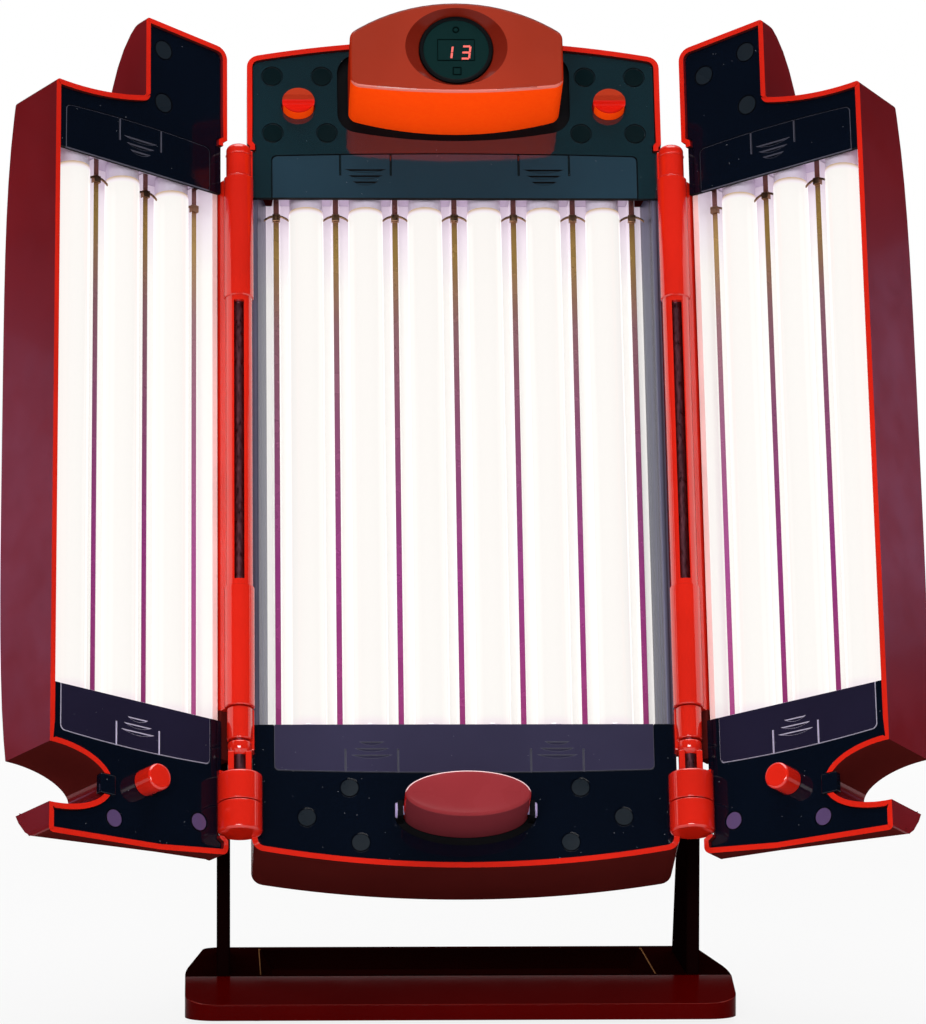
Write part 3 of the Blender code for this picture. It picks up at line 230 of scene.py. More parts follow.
def ellipse(centre: Point, half_across: float, half_up: float, sides: int = 72) -> list[Point]:
    """Points of a whole ellipse, counter-clockwise.

    Args:
        centre: The ellipse's middle.
        half_across: Its half width.
        half_up: Its half height.
        sides: How many sides it has.

    Returns:
        The points.
    """
    angles = [math.tau * i / sides for i in range(sides)]
    return [(centre[0] + half_across * math.cos(a), centre[1] + half_up * math.sin(a)) for a in angles]


def sharp(points: Iterable[Point]) -> list[Corner]:
    """Corners with no rounding."""
    return [(x, z, 0.0) for x, z in points]


def outline(corners: Sequence[Corner], inset: float = 0.0, steps: int = 6) -> list[Point]:
    """The closed outline of counter-clockwise corners, moved inwards and rounded.

    Args:
        corners: Each corner's place and its radius.
        inset: How far the outline moves inwards.
        steps: How many steps a rounded corner has.

    Returns:
        The outline's points.
    """
    count = len(corners)
    moved = []
    for i, (x, z, radius) in enumerate(corners):
        before = (Vector((x, z)) - Vector(corners[i - 1][:2])).normalized()
        after = (Vector(corners[(i + 1) % count][:2]) - Vector((x, z))).normalized()
        normal = Vector((-before.y - after.y, before.x + after.x))
        turn = before.x * after.y - before.y * after.x
        left = max(radius - inset if turn > 0 else radius + inset, 0.0) if radius else 0.0
        moved.append((Vector((x, z)) + normal * (inset * 2 / normal.length_squared), left))
    points: list[Point] = []
    for i, (corner, radius) in enumerate(moved):
        if not radius:
            points.append(tuple(corner))
            continue
        back = (moved[i - 1][0] - corner).normalized()
        ahead = (moved[(i + 1) % count][0] - corner).normalized()
        half = back.angle(ahead) / 2
        length = radius / math.tan(half)
        bisector = (back + ahead).normalized()
        middle = corner + bisector * (radius / math.sin(half) - radius)
        points += arc(corner + back * length, middle, corner + ahead * length, steps)
    return points


def panel_outline(inset: float = 0.0) -> list[Point]:
    """Front outline of the centre panel, narrower beside the hinges than at the top.

    Args:
        inset: How far it is moved inwards.

    Returns:
        The outline's points.
    """
    wide, narrow = SIZES.hinge - 4 * MM, SIZES.hinge - SIZES.setback
    high, low_corner, top_corner = SIZES.ear_top + SIZES.zone_margin, -187.5 * MM, 200 * MM
    bottom = arc((-narrow, low_corner), (0, low_corner - 8.8 * MM), (narrow, low_corner), 28)
    top = arc((wide, top_corner), (0, top_corner + 9 * MM), (-wide, top_corner), 28)
    radius = 6 * MM
    corners = [(*bottom[0], radius), *sharp(bottom[1:-1]), (*bottom[-1], radius)]
    corners += sharp([(narrow, high), (wide, high + SIZES.edge_step)])
    corners += [(*top[0], radius), *sharp(top[1:-1]), (*top[-1], radius)]
    corners += sharp([(-wide, high + SIZES.edge_step), (-narrow, high)])
    return outline(corners, inset)


def timer_ring(ends: float, lowest: float, grow: float = 0.0) -> list[Point]:
    """Outline of the timer at one depth: curved bottom, upright sides, arched top.

    Args:
        ends: Height of the bottom's two ends.
        lowest: Height of the bottom's middle.
        grow: How far the whole outline is widened.

    Returns:
        The outline's points, as many for any arguments.
    """
    half, side_top = SIZES.timer_half_width, SIZES.timer_side_top
    bottom = arc((-half, ends), (0, lowest), (half, ends), 16)
    top = arc((half, side_top), (0, SIZES.timer_apex), (-half, side_top), 20)
    radius = 5 * MM
    corners = [(*bottom[0], radius), *sharp(bottom[1:-1]), (*bottom[-1], radius)]
    corners += [(*top[0], radius), *sharp(top[1:-1]), (*top[-1], radius)]
    return outline(corners, -grow, 12)


def shoulder(radius: float, corner: float, level: float, steps: int = 8, way: int = 1) -> list[Point]:
    """The rounded edge of a spun piece, from the flat of its end to its side.

    Args:
        radius: The side's radius.
        corner: The edge's radius.
        level: Height of the end's flat.
        steps: How many steps the edge has.
        way: 1 for a top and -1 for an underside.

    Returns:
        The edge's points.
    """
    turns = [math.pi / 2 * i / steps for i in range(steps + 1)]
    return [(radius - corner + corner * math.sin(a), level - way * corner * (1 - math.cos(a))) for a in turns]


# Choice of faces

def picks(**limits: Limit) -> FaceTest:
    """A test for the faces whose middle and normal lie within limits.

    Args:
        limits: Two ends, each a number or None, for x, y and z of the middle and nx, ny and nz of the normal.
            A name with a_ before it is for the number without its sign.

    Returns:
        The test.
    """
    def within(face: Face) -> bool:
        """Whether a face lies within every limit.

        Args:
            face: The face.

        Returns:
            True if it does.
        """
        found = dict(zip(("x", "y", "z", "nx", "ny", "nz"), (*face.calc_center_median(), *face.normal)))
        found.update({f"a_{name}": abs(value) for name, value in found.items()})
        return all((low is None or found[name] > low) and (high is None or found[name] < high)
                   for name, (low, high) in limits.items())

    return within


def rim_faces(front: float) -> FaceTest:
    """A test for the faces of a shell's rim, which lies at a depth."""
    return picks(y=(None, front + 0.75 * MM))


FACES_DOWN = picks(nz=(None, -0.45))
FACES_ASIDE = picks(ny=(-0.95, 0.95))


# Mesh work

class Shape:
    """One piece's mesh while it is being shaped, in the frame that it is drawn in."""

    def __init__(self) -> None:
        """Starts with nothing."""
        self.mesh = bmesh.new()

    def plate(self, points: Sequence[Point], start: float, end: float, plane: Plane = Plane.BACK) -> "Shape":
        """Adds a flat outline given a thickness.

        Args:
            points: The outline.
            start: Where the thickness starts along the plane's axis.
            end: Where it ends.
            plane: The axis of the thickness.

        Returns:
            The shape itself.
        """
        corners = [self.mesh.verts.new(plane.value @ Vector((a, b, start))) for a, b in points]
        face = self.mesh.faces.new(corners)
        made = bmesh.ops.extrude_face_region(self.mesh, geom=[face])["geom"]
        moved = [item for item in made if isinstance(item, bmesh.types.BMVert)]
        bmesh.ops.translate(self.mesh, verts=moved, vec=plane.value.to_3x3() @ Vector((0, 0, end - start)))
        bmesh.ops.recalc_face_normals(self.mesh, faces=self.mesh.faces)
        return self

    def block(self, low: Sequence[float], high: Sequence[float]) -> "Shape":
        """Adds a box between two corners.

        Args:
            low: Its least corner.
            high: Its greatest corner.

        Returns:
            The shape itself.
        """
        low, high = Vector(low), Vector(high)
        made = bmesh.ops.create_cube(self.mesh, size=1)["verts"]
        bmesh.ops.scale(self.mesh, verts=made, vec=high - low)
        bmesh.ops.translate(self.mesh, verts=made, vec=(low + high) / 2)
        return self

    def turned(self, profile: Sequence[Point], place: Matrix, steps: int = 48) -> "Shape":
        """Adds a profile of (radius, height) points spun about Z, then put in place.

        Args:
            profile: The points, from one end of the piece to the other.
            place: Where the turned shape goes.
            steps: How many sides it has.

        Returns:
            The shape itself.
        """
        turning = Shape()
        mesh = turning.mesh
        chain = [mesh.verts.new((radius, 0, height)) for radius, height in profile]
        for pair in zip(chain, chain[1:]):
            mesh.edges.new(pair)
        bmesh.ops.spin(mesh, geom=mesh.verts[:] + mesh.edges[:], cent=(0, 0, 0), axis=(0, 0, 1),
                       angle=math.tau, steps=steps, use_merge=True)
        bmesh.ops.remove_doubles(mesh, verts=mesh.verts, dist=1e-7)
        turning.moved(place)
        bmesh.ops.recalc_face_normals(mesh, faces=mesh.faces)
        return self.added(turning)

    def lofted(self, *rings: Sequence[Vector]) -> "Shape":
        """Adds a closed solid through rings that have the same number of points.

        Args:
            rings: The rings, from one end to the other.

        Returns:
            The shape itself.
        """
        corners = [[self.mesh.verts.new(point) for point in ring] for ring in rings]
        loops = [[self.mesh.edges.new((ring[i - 1], ring[i])) for i in range(len(ring))] for ring in corners]
        for first, second in zip(loops, loops[1:]):
            bmesh.ops.bridge_loops(self.mesh, edges=first + second)
        for ring in (corners[0], corners[-1]):
            self.mesh.faces.new(ring)
        bmesh.ops.recalc_face_normals(self.mesh, faces=self.mesh.faces)
        return self

    def added(self, other: "Shape") -> "Shape":
        """Takes in another shape, which is used up.

        Args:
            other: The other shape.

        Returns:
            The shape itself.
        """
        holder = bpy.data.meshes.new("other")
        other.mesh.to_mesh(holder)
        other.mesh.free()
        self.mesh.from_mesh(holder)
        bpy.data.meshes.remove(holder)
        return self

    def moved(self, matrix: Matrix) -> "Shape":
        """Transforms everything so far."""
        bmesh.ops.transform(self.mesh, verts=self.mesh.verts, matrix=matrix)
        return self

    def rounded(self, width: float, segments: int = 3, limit: float = 35,
                where: Optional[Callable[[bmesh.types.BMEdge], bool]] = None) -> "Shape":
        """Rounds the edges that are sharper than an angle.

        Args:
            width: The width of the rounding.
            segments: How many faces it has.
            limit: The angle between faces, in degrees.
            where: A test that picks the edges.

        Returns:
            The shape itself.
        """
        angle = math.radians(limit)
        edges = [edge for edge in self.mesh.edges if len(edge.link_faces) == 2
                 and edge.calc_face_angle(0.0) > angle and (where is None or where(edge))]
        bmesh.ops.bevel(self.mesh, geom=edges, offset=width, offset_type="OFFSET", segments=segments,
                        profile=0.5, affect="EDGES", clamp_overlap=True, material=-1)
        return self

    def holder(self, name: str) -> Piece:
        """A passing object that holds a copy of the mesh.

        Args:
            name: The object's name.

        Returns:
            The object.
        """
        mesh = bpy.data.meshes.new(name)
        self.mesh.to_mesh(mesh)
        holder = bpy.data.objects.new(name, mesh)
        bpy.context.scene.collection.objects.link(holder)
        return holder

    def through(self, kind: str, **settings) -> "Shape":
        """Passes the mesh through one modifier and keeps the result.

        Args:
            kind: The modifier's type.
            settings: Its properties.

        Returns:
            The shape itself.
        """
        target = self.holder("passing")
        step = target.modifiers.new("step", kind)
        for name, value in settings.items():
            setattr(step, name, value)
        graph = bpy.context.evaluated_depsgraph_get()
        made = bpy.data.meshes.new_from_object(target.evaluated_get(graph))
        self.mesh.clear()
        self.mesh.from_mesh(made)
        for mesh in (made, target.data):
            bpy.data.meshes.remove(mesh)
        return self

    def carved(self, *cutters: "Shape", operation: str = "DIFFERENCE", solver: str = "EXACT") -> "Shape":
        """Cuts, joins or trims the shape with others, which are used up.

        Args:
            cutters: The shapes to cut with.
            operation: The Boolean operation.
            solver: The Boolean solver; after EXACT, flat faces are tidied.

        Returns:
            The shape itself.
        """
        for cutter in cutters:
            tool = cutter.holder("cutter")
            self.through("BOOLEAN", operation=operation, solver=solver, object=tool)
            bpy.data.meshes.remove(tool.data)
            cutter.mesh.free()
        if solver == "EXACT":
            bmesh.ops.dissolve_limit(self.mesh, angle_limit=math.radians(0.4), verts=self.mesh.verts,
                                     edges=self.mesh.edges)
        return self

    def piece(self, name: str, finish: "Finish", body: Body, place: Matrix, replaces: Sequence[str] = (),
              smooth: float = 40, extras: Sequence[tuple["Finish", FaceTest]] = ()) -> Piece:
        """Makes the finished piece, with its place in its mesh.

        Args:
            name: The piece's name.
            finish: Its finish.
            body: The body it rides on.
            place: The frame it was drawn in.
            replaces: The CAD nodes it stands for.
            smooth: Edges sharper than this angle stay sharp, in degrees.
            extras: Further finishes, each with a test that picks its faces.

        Returns:
            The piece.
        """
        for i, (_, test) in enumerate(extras):
            for face in filter(test, self.mesh.faces):
                face.material_index = i + 1
        self.moved(place)
        if place.determinant() < 0:
            bmesh.ops.reverse_faces(self.mesh, faces=self.mesh.faces)
        mesh = bpy.data.meshes.new(name)
        self.mesh.to_mesh(mesh)
        self.mesh.free()
        mesh.shade_smooth()
        mesh.set_sharp_from_angle(angle=math.radians(smooth))
        for choice in (finish, *(further for further, _ in extras)):
            mesh.materials.append(choice.material())
        made = bpy.data.objects.new(name, mesh)
        bpy.context.scene.collection.objects.link(made)
        weighted = made.modifiers.new("weighted_normals", "WEIGHTED_NORMAL")
        weighted.keep_sharp = True
        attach(made, body.value)
        if replaces:
            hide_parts(*replaces)
        return made


# Finishes

class Wiring:
    """A node tree while it is being wired."""

    def __init__(self, tree: bpy.types.NodeTree) -> None:
        """Starts with the nodes that the tree has."""
        self.tree = tree

    def node(self, kind: str, **properties) -> bpy.types.Node:
        """A new node.

        Args:
            kind: Its type.
            properties: What is set on it.

        Returns:
            The node.
        """
        made = self.tree.nodes.new(kind)
        for name, value in properties.items():
            setattr(made, name, value)
        return made

    def feed(self, target: Socket, value: "Socket | Sequence[float] | float") -> None:
        """Wires an input to a socket, or sets it to a number or a colour.

        Args:
            target: The input.
            value: What it gets.
        """
        if isinstance(value, Socket):
            self.tree.links.new(value, target)
        else:
            target.default_value = value

    def made(self, kind: str, output: str, **inputs) -> Socket:
        """The output of a new node.

        Args:
            kind: The node's type.
            output: The output's name.
            inputs: What its inputs get, named with underscores for spaces.

        Returns:
            The output.
        """
        node = self.node(kind)
        for name, value in inputs.items():
            self.feed(node.inputs[name.replace("_", " ")], value)
        return node.outputs[output]

    def worked(self, operation: str, *values: "Socket | float") -> Socket:
        """The result of a Math node.

        Args:
            operation: What it does.
            values: What its inputs get.

        Returns:
            The result.
        """
        node = self.node("ShaderNodeMath", operation=operation)
        for target, value in zip(node.inputs, values):
            self.feed(target, value)
        return node.outputs[0]

    def mapped(self, value: Socket, start: float, end: float, low: float = 0.0, high: float = 1.0) -> Socket:
        """A value mapped from one range to another and held within it."""
        return self.made("ShaderNodeMapRange", "Result", Value=value, From_Min=start, From_Max=end,
                         To_Min=low, To_Max=high)

    def show(self, share: Socket, first: Socket, second: Socket, output: str) -> None:
        """Shows a mix of two shaders.

        Args:
            share: How much of the second one is shown.
            first: The first shader.
            second: The second one.
            output: The name of the output node.
        """
        mix = self.node("ShaderNodeMixShader")
        for target, value in zip(mix.inputs, (share, first, second)):
            self.feed(target, value)
        self.feed(self.tree.nodes[output].inputs["Surface"], mix.outputs[0])


class Paint(Wiring):
    """A node material while it is being wired."""

    def __init__(self, name: str) -> None:
        """Starts a material with its Principled shader.

        Args:
            name: The material's name.
        """
        self.material = bpy.data.materials.new(name)
        self.material.use_nodes = True
        super().__init__(self.material.node_tree)
        self.shader = self.tree.nodes["Principled BSDF"]

    def set(self, **values) -> None:
        """Sets or wires the shader's own sockets, named with underscores for spaces."""
        for name, value in values.items():
            self.feed(self.shader.inputs[name.replace("_", " ")], value)

    def place(self, centre: Optional[Matrix] = None, stretch: Optional[Corner] = None) -> Socket:
        """Object coordinates, measured in a frame and stretched.

        Args:
            centre: The frame.
            stretch: The scale of each axis there.

        Returns:
            The coordinates' socket.
        """
        coordinates = self.node("ShaderNodeTexCoord").outputs["Object"]
        if centre is not None:
            local = self.node("ShaderNodeMapping", vector_type="TEXTURE")
            local.inputs["Location"].default_value = centre.translation
            local.inputs["Rotation"].default_value = centre.to_euler()
            self.feed(local.inputs["Vector"], coordinates)
            coordinates = local.outputs["Vector"]
        if stretch:
            coordinates = self.made("ShaderNodeMapping", "Vector", Vector=coordinates, Scale=stretch)
        return coordinates

    def noise(self, scale: float, detail: float, coordinates: Socket) -> Socket:
        """Fractal noise between 0 and 1."""
        return self.made("ShaderNodeTexNoise", "Fac", Scale=scale, Detail=detail, Vector=coordinates)

    def ramp(self, source: Socket, stops: Sequence[tuple[float, Colour]]) -> Socket:
        """A colour ramp.

        Args:
            source: What it reads.
            stops: Each stop's place and colour.

        Returns:
            The ramp's colour.
        """
        made = self.node("ShaderNodeValToRGB")
        elements = made.color_ramp.elements
        while len(elements) < len(stops):
            elements.new(0.5)
        for element, (place, colour) in zip(elements, stops):
            element.position = place
            element.color = (*colour, 1)
        self.feed(made.inputs["Fac"], source)
        return made.outputs["Color"]

    def spread(self, source: Socket, low: float, high: float) -> Socket:
        """A noise's middle range spread between two values."""
        return self.mapped(source, 0.3, 0.7, low, high)

    def mix(self, factor: Socket, first: Socket, second: Colour) -> Socket:
        """A colour mixed towards a second one.

        Args:
            factor: How far it goes.
            first: The colour.
            second: The second one.

        Returns:
            The mixed colour.
        """
        made = self.node("ShaderNodeMix", data_type="RGBA")
        for place, value in ((0, factor), (6, first), (7, (*second, 1))):
            self.feed(made.inputs[place], value)
        return made.outputs[2]

    def bump(self, height: Socket, strength: float, distance: float) -> None:
        """Gives the shader a relief."""
        normal = self.made("ShaderNodeBump", "Normal", Strength=strength, Distance=distance, Height=height)
        self.set(Normal=normal)

    def specks(self, scale: float, size: float, coordinates: Socket) -> Socket:
        """Sparse round specks: 1 inside a speck and 0 elsewhere."""
        cells = self.made("ShaderNodeTexVoronoi", "Distance", Scale=scale, Vector=coordinates)
        return self.worked("LESS_THAN", cells, size)


def shaded(colour: Colour, factor: float) -> Colour:
    """A colour made lighter or darker."""
    return tuple(min(channel * factor, 1.0) for channel in colour)


@dataclass(frozen=True)
class Finish:
    """What every finish has."""

    name: str
    slot: str
    colour: Colour
    roughness: float

    def material(self) -> bpy.types.Material:
        """The finish's material, made once."""
        return bpy.data.materials.get(self.name) or self.paint()

    def paint(self) -> bpy.types.Material:
        """Wires the material."""
        raise NotImplementedError


@dataclass(frozen=True)
class Moulded(Finish):
    """Moulded plastic: colour that drifts a little, a fine peel and a few specks of dust."""

    shine: float = 0.3
    peel: float = 0.05
    drift: float = 0.1
    coat: float = 0.1
    dust: float = 0.0
    peel_scale: float = 420

    def paint(self) -> bpy.types.Material:
        """Wires the material.

        Returns:
            The material.
        """
        paint = Paint(self.name)
        place = paint.place()
        light, dark = shaded(self.colour, 1 + self.drift), shaded(self.colour, 1 - self.drift)
        colour = paint.ramp(paint.noise(14, 3, place), [(0.35, dark), (0.65, light)])
        if self.dust:
            colour = paint.mix(paint.specks(260, self.dust, place), colour, (0.35, 0.36, 0.4))
        rough = paint.spread(paint.noise(55, 4, place), self.roughness * 0.75, self.roughness * 1.3)
        paint.set(Base_Color=colour, Roughness=rough, Coat_Weight=self.coat, Coat_Roughness=0.04,
                  Specular_IOR_Level=self.shine)
        paint.bump(paint.noise(self.peel_scale, 2, place), self.peel, 0.0004)
        return paint.material


@dataclass(frozen=True)
class Dull(Moulded):
    """Moulded plastic with hardly any gloss."""

    shine: float = 0.0
    coat: float = 0.0


@dataclass(frozen=True)
class Metal(Finish):
    """Bare metal with streaks along its length."""

    along: Optional[Matrix] = None
    streak: float = 0.12
    metallic: float = 1.0
    stretch: Corner = (900, 900, 12)

    def paint(self) -> bpy.types.Material:
        """Wires the material.

        Returns:
            The material.
        """
        paint = Paint(self.name)
        streaks = paint.noise(1, 4, paint.place(self.along, self.stretch))
        light, dark = shaded(self.colour, 1 + self.streak), shaded(self.colour, 1 - self.streak)
        colour = paint.ramp(streaks, [(0.3, dark), (0.7, light)])
        rough = paint.spread(streaks, self.roughness * 0.7, self.roughness * 1.4)
        paint.set(Metallic=self.metallic, Base_Color=colour, Roughness=rough)
        paint.bump(streaks, 0.05, 0.0002)
        return paint.material


@dataclass(frozen=True)
class Banded(Finish):
    """A finish whose colour changes along the panel, from its bottom to its top, and that may glow."""

    along: Optional[Matrix] = None
    stops: tuple = ()
    reach: float = 0.14
    glow: float = 0.0
    body: float = 1.0
    metallic: float = 0.0

    def paint(self) -> bpy.types.Material:
        """Wires the material.

        Returns:
            The material.
        """
        paint = Paint(self.name)
        local = paint.place(self.along)
        height = paint.made("ShaderNodeSeparateXYZ", "Z", Vector=local)
        share = paint.worked("MULTIPLY_ADD", height, 0.5 / self.reach, 0.5)
        spots = [(0.5 + place / self.reach / 2, tint) for place, tint in self.stops]
        darker = paint.ramp(share, [(spot, shaded(tint, self.body)) for spot, tint in spots])
        rough = paint.spread(paint.noise(90, 3, local), self.roughness * 0.7, self.roughness * 1.3)
        paint.set(Metallic=self.metallic, Coat_Weight=0.2, Base_Color=darker, Roughness=rough)
        if self.glow:
            paint.set(Emission_Color=paint.ramp(share, spots), Emission_Strength=self.glow)
        return paint.material


@dataclass(frozen=True)
class Lit(Finish):
    """What glows: the lit digits, and painted lamp light on undersides and seams."""

    glow: float = 1.0

    def paint(self) -> bpy.types.Material:
        """Wires the material.

        Returns:
            The material.
        """
        paint = Paint(self.name)
        noise = paint.noise(500, 2, paint.place())
        light = paint.ramp(noise, [(0.3, shaded(self.colour, 0.85)), (0.7, self.colour)])
        paint.set(Base_Color=light, Emission_Color=light, Emission_Strength=self.glow,
                  Roughness=self.roughness, Specular_IOR_Level=0.0)
        return paint.material


RED = Moulded("glossy_red_moulding", "red_gloss_plastic", (0.64, 0.014, 0.005), 0.08, shine=0.7, coat=0.4)
# The buttons' own red, also used as painted lamp light on the latch's ends
BUTTON_RED = Dull("button_moulding", "red_gloss_plastic", (0.62, 0.008, 0.003), 0.25, shine=0.03)
# Painted shade on the upper faces of the buttons' scoops
SHADED_SCOOP_RED = Dull("button_scoop_painted_shade", "red_gloss_plastic", (0.40, 0.035, 0.013), 0.3)
# Shell walls: the red darkened as painted shade; the rim keeps the plain red
SHADED_SHELL_RED = Moulded("shell_wall_painted_shade", "red_gloss_plastic", (0.165, 0.007, 0.010), 0.2)
SHADE_RED = Dull("shaded_red_moulding", "red_gloss_plastic", (0.075, 0.008, 0.007), 0.3)
TIMER_RED = Moulded("timer_red_moulding", "red_gloss_plastic", (0.33, 0.032, 0.014), 0.14, shine=0.4)
# Painted shade in the timer's dish and on its arched top
SHADED_DISH_RED = Dull("timer_dish_painted_shade", "red_gloss_plastic", (0.17, 0.012, 0.005), 0.2, shine=0.15)
# Painted lamp light on the timer's ends
LIT_END_RED = Dull("timer_end_painted_light", "red_gloss_plastic", (0.40, 0.022, 0.006), 0.3)
# Painted highlight along the timer's bottom edge
PAINTED_HIGHLIGHT_PINK = Dull("timer_edge_painted_highlight", "red_gloss_plastic", (0.72, 0.17, 0.13), 0.3, shine=0.2)
LATCH_RED = Dull("latch_red_moulding", "red_gloss_plastic", (0.25, 0.027, 0.033), 0.25, shine=0.04)
# Painted highlight along the latch's top edge
RIM_LIGHT = Dull("latch_edge_painted_highlight", "red_gloss_plastic", (0.90, 0.62, 0.64), 0.3, shine=0.2)
# Painted shade on the latch's walls
LATCH_SHADE = Dull("latch_wall_painted_shade", "red_gloss_plastic", (0.165, 0.024, 0.032), 0.3)
DARK_RED = Dull("glossy_dark_red_moulding", "dark_red_gloss_plastic", (0.080, 0.0004, 0.0004), 0.12,
                shine=0.02)
# Painted shade over the tray behind the ridge
TRAY_RED = Dull("shaded_tray_moulding", "dark_red_gloss_plastic", (0.009, 0.0006, 0.0005), 0.2)
# Painted highlight along the tray's side rims
TRAY_RIM_HIGHLIGHT = Dull("tray_rim_painted_highlight", "dark_red_gloss_plastic", (0.21, 0.10, 0.04), 0.3)
# Painted highlight along the bar's top edge
BAR_EDGE_HIGHLIGHT = Dull("bar_edge_painted_highlight", "dark_red_gloss_plastic", (0.20, 0.018, 0.014), 0.2, shine=0.1)
ARM_RED = Dull("glossy_arm_moulding", "dark_red_gloss_plastic", (0.005, 0.001, 0.001), 0.2)
BLACK = Moulded("glossy_black_moulding", "black_gloss_plastic", (0.002, 0.016, 0.023), 0.04,
                shine=1.0, coat=0.9, dust=0.03)
NAVY = Moulded("wing_black_moulding", "black_gloss_plastic", (0.0012, 0.003, 0.008), 0.08,
               shine=0.2, coat=0.15, dust=0.035)
COVER_LILAC = Moulded("cover_black_moulding", "black_gloss_plastic", (0.012, 0.010, 0.027), 0.1,
                      coat=0.2, dust=0.03)
COVER_TEAL = Moulded("centre_cover_moulding", "black_gloss_plastic", (0.013, 0.036, 0.056), 0.06,
                     shine=0.8, coat=0.5, dust=0.03)
COVER_GREY = Moulded("lit_cover_moulding", "black_gloss_plastic", (0.032, 0.029, 0.062), 0.1,
                     coat=0.2, dust=0.03)
PLUG_TEAL = Moulded("teal_plug_moulding", "black_gloss_plastic", (0.001, 0.007, 0.009), 0.2, shine=0.2)
PLUG_BLACK = Moulded("satin_plug_moulding", "black_gloss_plastic", (0.008, 0.013, 0.019), 0.3, shine=0.2)
PLUG_LILAC = Moulded("lilac_plug_moulding", "black_gloss_plastic", (0.085, 0.050, 0.13), 0.2)
# The steel latch pin painted lilac: a painted reflection of the lamps' glow
PIN_LILAC = Moulded("pin_painted_lilac_reflection", "steel", (0.42, 0.34, 0.60), 0.3)
HOLDER = Moulded("pale_holder_moulding", "black_matte_plastic", (0.72, 0.64, 0.78), 0.4)
# Painted lamp light on the wings' reflector side walls
PINK_WALL = Moulded("pink_sheet_painted_light", "aluminium_reflector", (0.86, 0.60, 0.58), 0.3)
WELL_BLACK = Dull("matte_black_moulding", "black_matte_plastic", (0.003, 0.003, 0.004), 0.5,
                  shine=0.05, peel=0.2)
DISPLAY_BLACK = Moulded("display_window", "black_gloss_plastic", (0.004, 0.020, 0.020), 0.06, peel=0.01)
MARK_GREEN = Dull("display_marks", "black_gloss_plastic", (0.001, 0.004, 0.004), 0.6)
BOARD_GREEN = Moulded("board_laminate", "circuit_board", (0.02, 0.12, 0.05), 0.5)
RUBBER = Moulded("foot_rubber", "black_rubber", (0.02, 0.02, 0.02), 0.8, peel=0.4, coat=0.0)
STEEL = Metal("satin_steel", "steel", (0.52, 0.50, 0.55), 0.28)
CLIP_METAL = Metal("bronzed_clip", "steel", (0.30, 0.17, 0.10), 0.35)
DARK_STEEL = Metal("blackened_steel", "dark_steel", (0.14, 0.045, 0.06), 0.35)
# Glowing red: painted lamp light on the undersides of the buttons and the timer
LIT_RED = Lit("lamp_light_painted_red", "red_gloss_plastic", (1.0, 0.068, 0.003), 0.3, glow=0.3)
DIGIT_RED = Lit("lit_digits", "black_gloss_plastic", (0.72, 0.13, 0.11), 0.4, glow=0.6)
# Seam lines that glow: painted lamp light leaking past the covers
PALE = Lit("seam_painted_light", "black_gloss_plastic", (0.50, 0.46, 0.58), 0.4, glow=0.25)
DIM_SEAM = Lit("dim_seam_painted_light", "black_gloss_plastic", (0.09, 0.09, 0.12), 0.4, glow=0.1)

# Heights along the lamps, in metres, and the colours there
TUBE_STOPS = ((-0.1285, (0.95, 0.80, 0.88)), (-0.122, (1.0, 0.97, 0.935)), (0.1235, (1.0, 0.97, 0.935)),
              (0.1252, (0.95, 0.84, 0.93)), (0.1263, (0.55, 0.34, 0.10)))
# Ridge colours: painted reflections of the lamps' light
RIDGE_STOPS = ((-0.13, (0.36, 0.045, 0.20)), (-0.05, (0.33, 0.045, 0.23)), (0.02, (0.28, 0.085, 0.18)),
               (0.07, (0.27, 0.13, 0.15)), (0.105, (0.34, 0.21, 0.06)), (0.119, (0.34, 0.20, 0.06)),
               (0.125, (0.17, 0.06, 0.05)))
# Reflector sheet colours: painted lamp light
SHEET_STOPS = ((-0.133, (0.96, 0.80, 0.86)), (-0.118, (1.0, 0.975, 0.95)), (0.09, (1.0, 0.975, 0.95)),
               (0.118, (0.92, 0.83, 0.91)), (0.13, (0.84, 0.72, 0.83)))


# Lamps, reflector, covers and fascias: the same in the panel and in both wings

